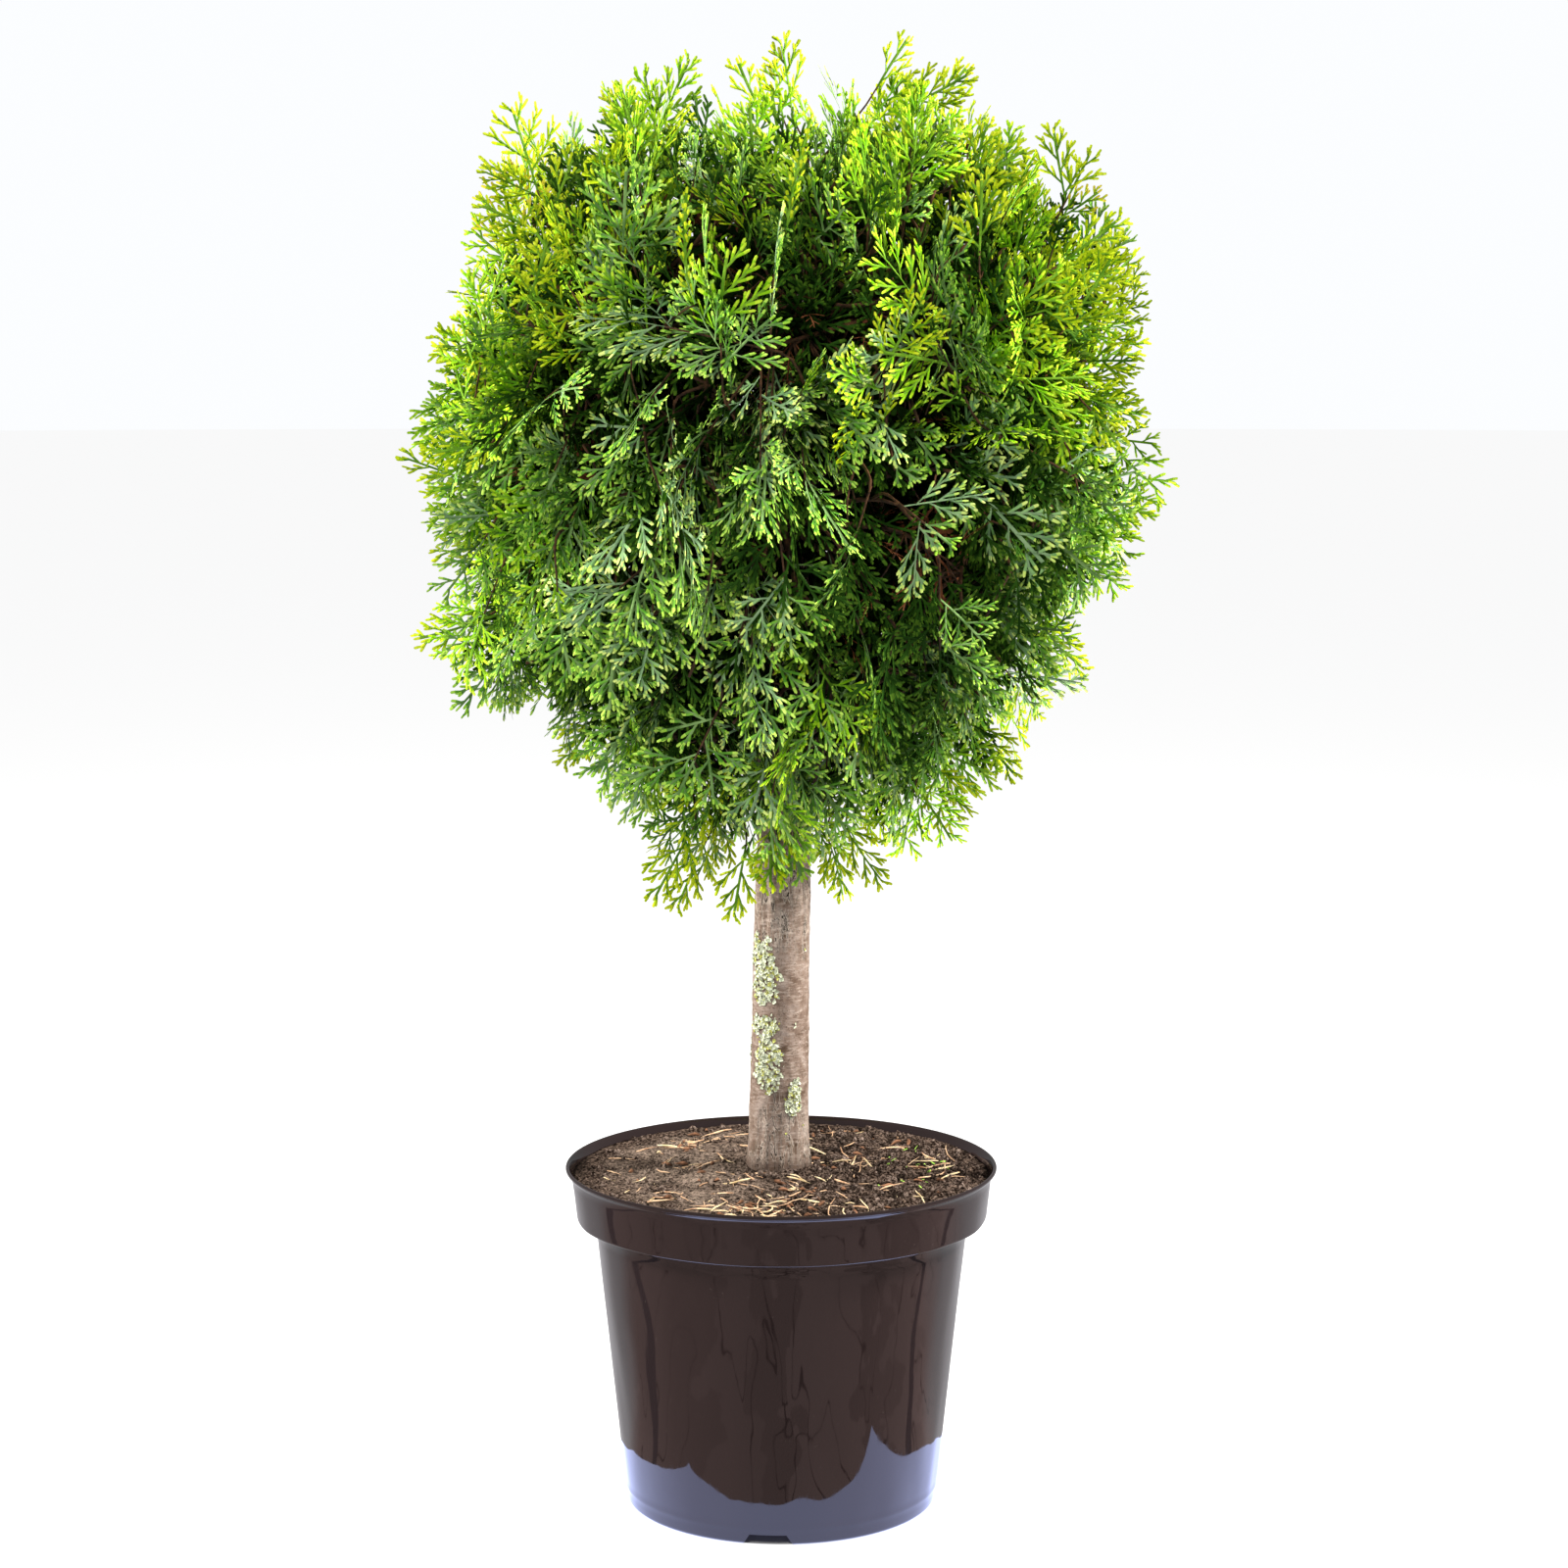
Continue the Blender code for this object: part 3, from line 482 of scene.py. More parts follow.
def two_tone(tree, place, size, limits, dark, light, **grain_settings):
    """Noise with patches of a real size, and the mix of two colours that it gives."""
    grain = add_node(tree, "ShaderNodeTexNoise", Vector=place, Scale=1 / size, **grain_settings)
    share = add_node(tree, "ShaderNodeMapRange", Value=grain, From_Min=limits[0], From_Max=limits[1])
    tone = add_node(tree, "ShaderNodeMix", COLOURS, i0=share, i6=linear(dark), i7=linear(light))
    return grain, tone


def black_plastic():
    """Injection-moulded polypropylene: black, near a mirror, with dust and fine scuffs."""
    made, tree, shader = surface("moulded_polypropylene", "#1c1414", 0.06, IOR=1.47)
    place = add_node(tree, "ShaderNodeTexCoord").outputs["Object"]
    dust = add_node(tree, "ShaderNodeTexNoise", Vector=place, Scale=1 / (1.8 * MM), Detail=3.0)
    speck = add_node(tree, "ShaderNodeMapRange", Value=dust, From_Min=0.73, From_Max=0.80)
    patches = add_node(tree, "ShaderNodeTexNoise", Vector=place, Scale=1 / (60 * MM), Detail=2.0)
    dusty = add_node(
        tree, "ShaderNodeMapRange", Value=patches, From_Min=0.45, From_Max=0.70, To_Min=0.15,
        To_Max=1.0)
    shown = add_node(tree, "ShaderNodeMath", TIMES, i0=speck, i1=dusty)
    tone = add_node(
        tree, "ShaderNodeMix", COLOURS, i0=shown, i6=linear("#1c1414"), i7=linear("#6d655f"))
    stretched = add_node(tree, "ShaderNodeMapping", Vector=place, Scale=(1.0, 1.0, 0.05))
    scuff = add_node(tree, "ShaderNodeTexNoise", Vector=stretched, Scale=1 / (3 * MM), Detail=4.0)
    rough = add_node(
        tree, "ShaderNodeMapRange", Value=scuff, From_Min=0.45, From_Max=0.75, To_Min=0.035,
        To_Max=0.10)
    rougher = add_node(tree, "ShaderNodeMath", TIMES_PLUS, i0=shown, i1=0.35, i2=rough)
    ripple = add_node(tree, "ShaderNodeTexNoise", Vector=place, Scale=1 / (22 * MM), Detail=1.0)
    bump = add_node(tree, "ShaderNodeBump", Height=ripple, Strength=0.12, Distance=1.0 * MM)
    fill(tree, shader, Base_Color=tone, Roughness=rougher, Normal=bump)
    return made


def bark():
    """Thuja bark: smooth, pinkish grey-brown and wrinkled, dark in its cracks and at its foot, with
    painted shade under its lichen.
    """
    made, tree, shader = surface("thuja_bark", "#7c6a5f", 0.80, Specular_IOR_Level=0.25)
    place = add_node(tree, "ShaderNodeTexCoord").outputs["Object"]
    cloud = add_node(
        tree, "ShaderNodeTexNoise", Vector=place, Scale=1 / (14 * MM), Detail=4.0, Roughness=0.6)
    ramp = add_node(tree, "ShaderNodeValToRGB", Fac=cloud)
    stops = ramp.color_ramp.elements
    stops[0].position, stops[0].color = 0.32, linear("#504035")
    stops[1].position, stops[1].color = 0.68, linear("#83756d")
    ramp.color_ramp.elements.new(0.50).color = linear("#6d5c52")
    wrinkled = add_node(tree, "ShaderNodeMapping", Vector=place, Scale=(0.35, 0.35, 1.5))
    wrinkle = add_node(
        tree, "ShaderNodeTexNoise", Vector=wrinkled, Scale=1 / (3.0 * MM), Detail=4.0, Roughness=0.6)
    pale = add_node(
        tree, "ShaderNodeMapRange", Value=wrinkle, From_Min=0.50, From_Max=0.66, To_Min=0.0, To_Max=0.6)
    tone = add_node(tree, "ShaderNodeMix", COLOURS, i0=pale, i6=ramp, i7=linear("#9c8e84"))
    speck = add_node(tree, "ShaderNodeTexNoise", Vector=place, Scale=1 / (1.5 * MM), Detail=2.0)
    dark = add_node(
        tree, "ShaderNodeMapRange", Value=speck, From_Min=0.58, From_Max=0.70, To_Min=0.0, To_Max=0.6)
    split = add_node(tree, "ShaderNodeMapping", Vector=place, Scale=(1.0, 1.0, 0.20))
    torn = add_node(
        tree, "ShaderNodeTexNoise", Vector=split, Scale=1 / (7 * MM), Detail=4.0, Roughness=0.60,
        Distortion=0.8)
    off = add_node(tree, "ShaderNodeMath", {"operation": "SUBTRACT"}, i0=torn, i1=0.5)
    beside = add_node(tree, "ShaderNodeMath", {"operation": "ABSOLUTE"}, i0=off)
    line = add_node(
        tree, "ShaderNodeMapRange", Value=beside, From_Min=0.004, From_Max=0.018, To_Min=1.0,
        To_Max=0.0)
    lip = add_node(
        tree, "ShaderNodeMapRange", Value=beside, From_Min=0.022, From_Max=0.060, To_Min=0.6,
        To_Max=0.0)
    zone = add_node(tree, "ShaderNodeAttribute", {"attribute_name": "cracked"}).outputs["Fac"]
    crack = add_node(tree, "ShaderNodeMath", TIMES, i0=line, i1=zone)
    # Painted shade on the bark where the lichen lobes lie over it
    shade = add_node(tree, "ShaderNodeAttribute", {"attribute_name": "lichen"}).outputs["Fac"]
    under = add_node(tree, "ShaderNodeMath", TIMES, i0=shade, i1=0.45)
    lifted = add_node(tree, "ShaderNodeMath", TIMES, i0=lip, i1=zone)
    curled = add_node(tree, "ShaderNodeMix", COLOURS, i0=lifted, i6=tone, i7=linear("#b4a89d"))
    darker = add_node(tree, "ShaderNodeMath", LARGER, i0=dark, i1=crack)
    darkest = add_node(tree, "ShaderNodeMath", LARGER, i0=darker, i1=under)
    specked = add_node(tree, "ShaderNodeMix", COLOURS, i0=darkest, i6=curled, i7=linear("#2a1e17"))
    # Darker towards the bottom, near the trunk's foot
    height = add_node(tree, "ShaderNodeSeparateXYZ", Vector=place).outputs["Z"]
    foot_level = add_node(tree, "ShaderNodeMath", TIMES_PLUS, i0=cloud, i1=-0.020, i2=height)
    foot_share = add_node(
        tree, "ShaderNodeMapRange", Value=foot_level, From_Min=TRUNK_FOOT - 0.006,
        From_Max=TRUNK_FOOT + 0.007, To_Min=0.8, To_Max=0.0)
    foot_darkened = add_node(tree, "ShaderNodeMix", COLOURS, i0=foot_share, i6=specked, i7=linear("#3a2c24"))
    bump = add_node(tree, "ShaderNodeBump", Height=wrinkle, Strength=0.5, Distance=0.8 * MM)
    fine = add_node(tree, "ShaderNodeBump", Height=speck, Strength=0.4, Distance=0.5 * MM, Normal=bump)
    deep = add_node(
        tree, "ShaderNodeBump", INVERTED, Height=crack, Strength=0.9, Distance=1.5 * MM, Normal=fine)
    fill(tree, shader, Base_Color=foot_darkened, Normal=deep)
    return made


def potting_soil(name, dark, light):
    """Peaty soil with brown crumbs, greyer and finer where it has dried, and near black painted shade in
    its pits.
    """
    made, tree, shader = surface(name, light, 0.96, Specular_IOR_Level=0.08)
    place = add_node(tree, "ShaderNodeTexCoord").outputs["Object"]
    grain, tone = two_tone(
        tree, place, 2.6 * MM, (0.46, 0.60), dark, light, Detail=5.0, Roughness=0.7)
    dry = add_node(tree, "ShaderNodeAttribute", {"attribute_name": "dry"}).outputs["Fac"]
    worn = add_node(
        tree, "ShaderNodeMapRange", Value=grain, From_Min=0.38, From_Max=0.56, To_Min=0.05, To_Max=1.0)
    share_dry = add_node(tree, "ShaderNodeMath", TIMES, i0=dry, i1=worn)
    dried = add_node(tree, "ShaderNodeMix", COLOURS, i0=share_dry, i6=tone, i7=linear("#827266"))
    # Painted shade, near black, in the pits between the clods
    pit = add_node(tree, "ShaderNodeAttribute", {"attribute_name": "pit"}).outputs["Fac"]
    pit_shaded = add_node(tree, "ShaderNodeMix", COLOURS, i0=pit, i6=dried, i7=linear("#0e0907"))
    bump = add_node(tree, "ShaderNodeBump", Height=grain, Strength=0.9, Distance=1.6 * MM)
    fill(tree, shader, Base_Color=pit_shaded, Normal=bump)
    return made


def mottled(name, dark, light, patch, roughness=0.8, bump_share=0.4, **shader_inputs):
    """A matt natural finish that drifts between two colours over patches of a real size."""
    made, tree, shader = surface(name, light, roughness, **shader_inputs)
    place = add_node(tree, "ShaderNodeTexCoord").outputs["Object"]
    tone = two_tone(
        tree, place, patch, (0.36, 0.64), dark, light, Detail=3.0, Roughness=0.6)[1]
    grain = add_node(tree, "ShaderNodeTexNoise", Vector=place, Scale=4 / patch, Detail=3.0)
    bump = add_node(tree, "ShaderNodeBump", Height=grain, Strength=bump_share, Distance=patch * 0.12)
    fill(tree, shader, Base_Color=tone, Normal=bump)
    return made


def scale_leaves(name, dark, light):
    """Waxy scale leaves, one every 1.6 mm: small facets on a blade that looks round across."""
    made, tree, shader = surface(name, light, 0.58, IOR=1.42, Specular_IOR_Level=0.03)
    place = add_node(tree, "ShaderNodeTexCoord").outputs["Object"]
    tone = two_tone(tree, place, 18 * MM, (0.38, 0.62), dark, light, Detail=2.0)[1]
    side = add_node(tree, "ShaderNodeAttribute", {"attribute_name": "side"}).outputs["Fac"]
    hollow = add_node(tree, "ShaderNodeMath", TIMES, i0=side, i1=side)
    cells = add_node(tree, "ShaderNodeTexVoronoi", Vector=place, Scale=1 / (1.6 * MM))
    depth = add_node(tree, "ShaderNodeMath", TIMES_PLUS, i0=cells, i1=0.35, i2=hollow)
    bump = add_node(tree, "ShaderNodeBump", INVERTED, Height=depth, Strength=0.6, Distance=0.8 * MM)
    fill(tree, shader, Base_Color=tone, Normal=bump)
    return made


# Pot


def body_radius(height):
    """The outer radius of the pot's tapering body at a height."""
    share = (height - CHAMFER_RISE) / (POT_HEIGHT - BAND_DROP - CHAMFER_RISE)
    return BODY_FOOT_RADIUS + (BODY_TOP_RADIUS - BODY_FOOT_RADIUS) * share


def pot_profile():
    """The pot's closed profile, down its outer side and up its inner side."""
    ledge = POT_HEIGHT - BAND_DROP
    shoulder = ledge - SHOULDER_DROP
    band_top = POT_HEIGHT - LIP_DROP
    swell = BODY_TOP_RADIUS + SHOULDER_SWELL
    corner = BAND_FOOT_RADIUS - LEDGE_ROUNDING
    rounding = [
        (corner + LEDGE_ROUNDING * math.cos(turn), ledge + LEDGE_ROUNDING * (1 - math.sin(turn)))
        for turn in (math.pi * i / 12 for i in range(7))
    ]
    foot = [
        (BODY_FOOT_RADIUS - BASE_CHAMFER * (1 - math.cos(turn)), CHAMFER_RISE * (1 - math.sin(turn)))
        for turn in (math.pi * i / 12 for i in range(7))
    ]
    lip = [
        (LIP_RADIUS - LIP_ROUNDING * (1 - math.cos(turn)),
         POT_HEIGHT - LIP_ROUNDING * (1 - math.sin(turn)))
        for turn in (math.pi * (0.72 - i / 9) for i in range(11))
    ]
    outer = [
        *lip, (LIP_RADIUS - 0.0028, POT_HEIGHT - 0.0046), (BAND_TOP_RADIUS, band_top),
        *rounding, (swell, ledge), (swell - 0.0002, ledge - 0.0030),
        (swell - 0.0010, ledge - 0.0060), (body_radius(shoulder), shoulder),
        *[(body_radius(height) + rise, height) for height, rise in MOULD_LINE], *foot, (0, 0),
    ]
    inner = [
        (0, FLOOR),
        (body_radius(FLOOR) - BASE_CHAMFER - WALL, FLOOR),
        (body_radius(FLOOR + 0.006) - WALL, FLOOR + 0.006),
        (body_radius(ledge) - WALL, ledge + WALL * 0.4),
        (body_radius(ledge) - WALL * 0.2, ledge + WALL),
        (BAND_FOOT_RADIUS - WALL - 0.002, ledge + WALL),
        (BAND_TOP_RADIUS - WALL, band_top),
        (LIP_RADIUS - 0.0030 - WALL * 0.4, POT_HEIGHT - 0.0022),
    ]
    return [*outer, *inner, outer[0]]


def divided(profile, step):
    """The profile with its long stretches cut into steps."""
    points = []
    for (r0, z0), (r1, z1) in zip(profile, profile[1:]):
        count = max(1, round(math.hypot(r1 - r0, z1 - z0) / step))
        points += [(r0 + (r1 - r0) * i / count, z0 + (z1 - z0) * i / count) for i in range(count)]
    return points


def wave(azimuth, height, across, up, shift=(0, 0)):
    """Smooth noise round a limb or a wall, that changes so fast across and so fast upwards."""
    return noise.noise(polar(azimuth, 1, 0) * across + Vector((*shift, height * up)))


def wall_wave(azimuth, height):
    """How far the thin moulded wall stands off a true cone: long, slightly crooked drapes."""
    drapes = wave(azimuth, height, 3.1, 5.0)
    crooks = wave(azimuth, height, 6.5, 13.0, (5, 1))
    share = clipped((height - 0.004) / 0.02) * clipped((0.30 - height) / 0.02)
    return (drapes * 1.0 + crooks * 0.55) * MM * share


def turned_shell(name, profile, segments, material):
    """A closed shell turned about Z, with the wall's small waves."""
    vertices, rings = [], []
    for radius, height in profile:
        if radius < 1e-6:
            rings.append([len(vertices)] * segments)
            vertices.append((0, 0, height))
            continue
        rings.append(list(range(len(vertices), len(vertices) + segments)))
        for i in range(segments):
            azimuth = math.tau * i / segments
            reach = radius + (wall_wave(azimuth, height) if radius > WAVY_FROM_RADIUS else 0)
            vertices.append((reach * math.cos(azimuth), reach * math.sin(azimuth), height))
    faces = []
    for upper, lower in zip(rings, rings[1:] + rings[:1]):
        for i in range(segments):
            j = (i + 1) % segments
            corners = list(dict.fromkeys((upper[i], lower[i], lower[j], upper[j])))
            if len(corners) > 2:
                faces.append(corners)
    return mesh_piece(name, vertices, faces, material)


def channel_prism(grow, start, end, foot, azimuth, material):
    """A prism with the drainage channel's trapezoid as section, lying along an azimuth."""
    roof = CHANNEL_HEIGHT + grow
    half_foot = CHANNEL_FOOT_WIDTH / 2 + grow
    half_roof = CHANNEL_ROOF_WIDTH / 2 + grow
    outline = ((-half_foot, foot), (half_foot, foot), (half_roof, roof), (-half_roof, roof))
    vertices = [(x, y, z) for x in (start, end) for y, z in outline]
    faces = [(3, 2, 1, 0), (4, 5, 6, 7)]
    faces += [(i, (i + 1) % 4, 4 + (i + 1) % 4, 4 + i) for i in range(4)]
    prism = mesh_piece("prism", vertices, faces, material, smooth=False)
    prism.data.transform(Matrix.Rotation(azimuth, 4, "Z"))
    return prism


def boolean(obj, operation, other):
    """Applies one Boolean with another mesh object, and removes that object."""
    cut = obj.modifiers.new(operation, "BOOLEAN")
    cut.operation = operation
    cut.object = other
    applied(obj)
    bpy.data.objects.remove(other)


def drum(name, profile, segments, material):
    """A closed solid turned about Z from a plain profile."""
    solid = turned_shell(name, profile, segments, material)
    turned_out(solid.data)
    return solid


def wall_core(material):
    """A filled drum that ends in the middle of the pot's wall: channel covers stop there."""
    foot = FLOOR / 2
    top = CHANNEL_HEIGHT + WALL * 2
    outline = ((0, top), (body_radius(top) - WALL / 2, top), (BODY_FOOT_RADIUS - FLOOR, foot), (0, foot))
    return drum("drum", outline, CHANNEL_SEGMENTS, material)


def make_pot(material):
    """The nursery pot: a thin glossy shell whose floor is moulded up over four channels."""
    pot = turned_shell("pot_shell", divided(pot_profile(), POT_STEP), POT_SEGMENTS, material)
    for i in range(CHANNEL_COUNT):
        azimuth = CHANNEL_TURN + i * math.tau / CHANNEL_COUNT
        cover = channel_prism(
            WALL, CHANNEL_INNER_END - WALL, LIP_RADIUS, FLOOR / 2, azimuth, material)
        boolean(cover, "INTERSECT", wall_core(material))
        boolean(pot, "UNION", cover)
        channel = channel_prism(0, CHANNEL_INNER_END, LIP_RADIUS, -FLOOR, azimuth, material)
        boolean(pot, "DIFFERENCE", channel)
        low, high = CHANNEL_HEIGHT - FLOOR * 2, CHANNEL_HEIGHT + FLOOR * 2
        outline = ((0, high), (DRAIN_RADIUS, high), (DRAIN_RADIUS, low), (0, low))
        hole = drum("hole", outline, DRAIN_SEGMENTS, material)
        hole.data.transform(Matrix.Translation(polar(azimuth, DRAIN_DISTANCE, 0)))
        boolean(pot, "DIFFERENCE", hole)
    mesh = pot.data
    mesh.materials.clear()
    mesh.materials.append(material)
    mesh.shade_smooth()
    mesh.set_sharp_from_angle(angle=math.radians(38))
    return finish_piece(pot, "pot", "pot")


# Soil


def soil_form(x, y):
    """The soil's height at a place, and the painted shade between its clods there, from 0 to 1, which
    grows with how deep it lies.
    """
    radius = math.hypot(x, y)
    share = clipped((radius - SOIL_TOP_RADIUS) / (SOIL_EDGE_RADIUS - SOIL_TOP_RADIUS))
    drop = SOIL_EDGE_DROP - SOIL_FRONT_RISE * clipped(0.5 + y / 0.2)
    base = POT_HEIGHT - SOIL_MOUND_DROP - (drop - SOIL_MOUND_DROP) * share ** 1.6
    rough = 0.40 + 0.75 * clipped(0.45 + x / 0.12)
    place = Vector((x, y, 0.3))
    warp = noise.noise_vector(place / 0.007) * 0.0016
    lumps = noise.noise(place / SOIL_LUMPS[0]) * SOIL_LUMPS[1]
    clods = noise.voronoi((place + warp) / SOIL_CLODS[0])[0][0]
    crumbs = noise.voronoi((place + warp) / SOIL_CRUMBS[0])[0][0]
    relief = lumps + (0.45 - clods) * SOIL_CLODS[1] + (0.45 - crumbs) * SOIL_CRUMBS[1]
    edge = clipped((SOIL_EDGE_RADIUS - radius) / 0.006)
    foot = clipped((radius - LITTER_STEM) / 0.012)
    height = base + relief * rough * MM * (0.35 + 0.65 * edge) * (0.4 + 0.6 * foot)
    height += SOIL_COLLAR_RISE * math.exp(-((radius - SOIL_COLLAR_RADIUS) / 0.008) ** 2)
    pit = max(0, clods - 0.50) * 2.4 + max(0, crumbs - 0.46) * 1.8
    return height, min(0.9, pit * min(1, rough * 1.1))


def make_soil_ground(material):
    """The soil: a relief of lumps and crumbs over a plug that fills the pot's mouth."""
    segments, rings = SOIL_SEGMENTS, SOIL_RINGS
    vertices = [(0, 0, soil_form(0, 0)[0])]
    pits = [0.0]
    for ring in range(1, rings + 1):
        radius = SOIL_EDGE_RADIUS * ring / rings
        for i in range(segments):
            spot = polar(math.tau * i / segments, radius, 0)
            height, pit = soil_form(spot.x, spot.y)
            vertices.append((spot.x, spot.y, height))
            pits.append(pit)
    for radius, height in SOIL_PLUG:
        vertices += [tuple(polar(math.tau * i / segments, radius, height)) for i in range(segments)]
    vertices.append((0, 0, SOIL_PLUG[-1][1]))
    rings += len(SOIL_PLUG)
    faces = disc_faces(rings, segments)
    last = 1 + (rings - 1) * segments
    faces += [(len(vertices) - 1, last + (i + 1) % segments, last + i) for i in range(segments)]
    ground = mesh_piece("soil_ground", vertices, faces, material)
    dry = []
    for x, y, _ in vertices:
        left = clipped((0.01 - x) / 0.07) * clipped((0.165 - math.hypot(x, y)) / 0.03)
        patch = 0.5 + 0.8 * noise.noise(Vector((x, y, 5.1)) / 0.028)
        dry.append(0.9 * left * clipped(patch))
    pits += [0.0] * (len(vertices) - len(pits))
    write_shares(ground.data, "dry", dry)
    write_shares(ground.data, "pit", pits)
    return finish_piece(ground, "soil", "soil")


def library(name, objects):
    """A collection of the small shapes that a tree of Geometry Nodes deals out."""
    made = bpy.data.collections.new(name)
    bpy.context.scene.collection.children.link(made)
    for obj in objects:
        for holder in list(obj.users_collection):
            holder.objects.unlink(obj)
        made.objects.link(obj)
    return made


def clear_library(made):
    """Removes a collection of small shapes once they have been dealt out."""
    for obj in list(made.objects):
        bpy.data.objects.remove(obj)
    bpy.data.collections.remove(made)


def new_tree(name, sockets):
    """An empty tree of Geometry Nodes with its named inputs, and its two end nodes."""
    tree = bpy.data.node_groups.new(name, "GeometryNodeTree")
    tree.interface.new_socket("Geometry", in_out="INPUT", socket_type="NodeSocketGeometry")
    tree.interface.new_socket("Geometry", in_out="OUTPUT", socket_type="NodeSocketGeometry")
    for label, kind in sockets:
        tree.interface.new_socket(label, in_out="INPUT", socket_type=kind)
    return tree, tree.nodes.new("NodeGroupInput").outputs, tree.nodes.new("NodeGroupOutput")


def deal_pieces(tree, given, end, **spots):
    """Puts the given pieces on their points, makes them real and gives them their finish."""
    kinds = add_node(
        tree, "GeometryNodeCollectionInfo", Collection=given["Pieces"], Separate_Children=True,
        Reset_Children=True)
    pieces = add_node(tree, "GeometryNodeInstanceOnPoints", Instance=kinds, Pick_Instance=True, **spots)
    solid = add_node(tree, "GeometryNodeRealizeInstances", Geometry=pieces)
    done = add_node(tree, "GeometryNodeSetMaterial", Geometry=solid, Material=given["Finish"])
    fill(tree, end, Geometry=done)


def strewn_tree():
    """Strews small pieces over a surface, each turned at random and lying near flat."""
    tree, given, end = new_tree("strewn", (
        ("Pieces", "NodeSocketCollection"), ("Finish", "NodeSocketMaterial"),
        ("Per Square Metre", "NodeSocketFloat"), ("Where", "NodeSocketString"),
        ("Smallest", "NodeSocketFloat"), ("Largest", "NodeSocketFloat"),
        ("Tumble", "NodeSocketFloat"), ("Seed", "NodeSocketInt"),
    ))
    where = add_node(
        tree, "GeometryNodeInputNamedAttribute", {"data_type": "FLOAT"}, Name=given["Where"])
    share = add_node(tree, "ShaderNodeMath", TIMES, i0=where, i1=given["Per Square Metre"])
    spots = add_node(
        tree, "GeometryNodeDistributePointsOnFaces", Mesh=given["Geometry"], Density=share,
        Seed=given["Seed"])
    spin = add_node(
        tree, "FunctionNodeRandomValue", {"data_type": "FLOAT_VECTOR"}, i0=(-0.5, -0.5, -math.pi),
        i1=(0.5, 0.5, math.pi), Seed=given["Seed"])
    tumble = add_node(tree, "ShaderNodeCombineXYZ", X=given["Tumble"], Y=given["Tumble"], Z=1.0)
    lean = add_node(tree, "ShaderNodeVectorMath", TIMES, i0=spin, i1=tumble)
    turn = add_node(
        tree, "FunctionNodeRotateRotation", {"rotation_space": "LOCAL"}, i0=spots.outputs["Rotation"],
        i1=lean)
    size = add_node(
        tree, "FunctionNodeRandomValue", {"data_type": "FLOAT"}, i2=given["Smallest"],
        i3=given["Largest"], Seed=given["Seed"])
    deal_pieces(tree, given, end, Points=spots, Rotation=turn, Scale=size)
    return tree


def planted_tree():
    """Plants one piece on each point, of the kind, turn and size that the point carries."""
    tree, given, end = new_tree("planted", (
        ("Pieces", "NodeSocketCollection"), ("Finish", "NodeSocketMaterial"),
    ))
    carried = {
        label: add_node(tree, "GeometryNodeInputNamedAttribute", {"data_type": kind}, Name=label)
        for label, kind in (("kind", "INT"), ("turn", "FLOAT_VECTOR"), ("size", "FLOAT"))}
    turn = add_node(tree, "FunctionNodeEulerToRotation", Euler=carried["turn"])
    deal_pieces(
        tree, given, end, Points=given["Geometry"], Instance_Index=carried["kind"], Rotation=turn,
        Scale=carried["size"])
    return tree


def grown(name, mesh, tree, **settings):
    """A plain mesh object: what a tree of Geometry Nodes makes of a mesh."""
    obj = bpy.data.objects.new(name, mesh)
    bpy.context.scene.collection.objects.link(obj)
    live = obj.modifiers.new(tree.name, "NODES")
    live.node_group = tree
    for socket in tree.interface.items_tree:
        label = socket.name.replace(" ", "_")
        if socket.in_out == "INPUT" and label in settings:
            live[socket.identifier] = settings[label]
    applied(obj)
    obj.data.name = name
    obj.data.materials.clear()
    obj.data.materials.append(settings["Finish"])
    obj.data.polygons.foreach_set("material_index", [0] * len(obj.data.polygons))
    return obj


def crumb(name, draw, flat=0.8):
    """One crumb of soil about 1 unit across: a lumpy pebble of 20 faces."""
    work = bmesh.new()
    bmesh.ops.create_icosphere(work, subdivisions=1, radius=0.5)
    for vertex in work.verts:
        vertex.co *= draw.uniform(0.7, 1.15)
        vertex.co.z *= flat
    mesh = bpy.data.meshes.new(name)
    work.to_mesh(mesh)
    work.free()
    return bpy.data.objects.new(name, mesh)


def ribbon(name, draw, length, width, thick, bend):
    """A thin root or straw that lies in a random bend: a three-sided strand."""
    count = 7
    spot, heading = Vector((-length / 2, 0, thick)), draw.uniform(-0.4, 0.4)
    vertices = []
    turn = draw.uniform(-bend, bend)
    for i in range(count + 1):
        share = i / count
        side = Vector((-math.sin(heading), math.cos(heading), 0))
        half = width / 2 * (1 - 0.55 * abs(share * 2 - 1) ** 3)
        lift = Vector((0, 0, thick * (0.8 + 0.8 * math.sin(share * math.pi * 1.5))))
        vertices += [tuple(spot - side * half), tuple(spot + side * half), tuple(spot + lift)]
        heading += turn / count + draw.uniform(-bend, bend) * 0.3
        spot = spot + Vector((math.cos(heading), math.sin(heading), 0)) * length / count
    strand = mesh_piece(name, vertices, limb_faces(count + 1, 3), None)
    turned_out(strand.data)
    return strand


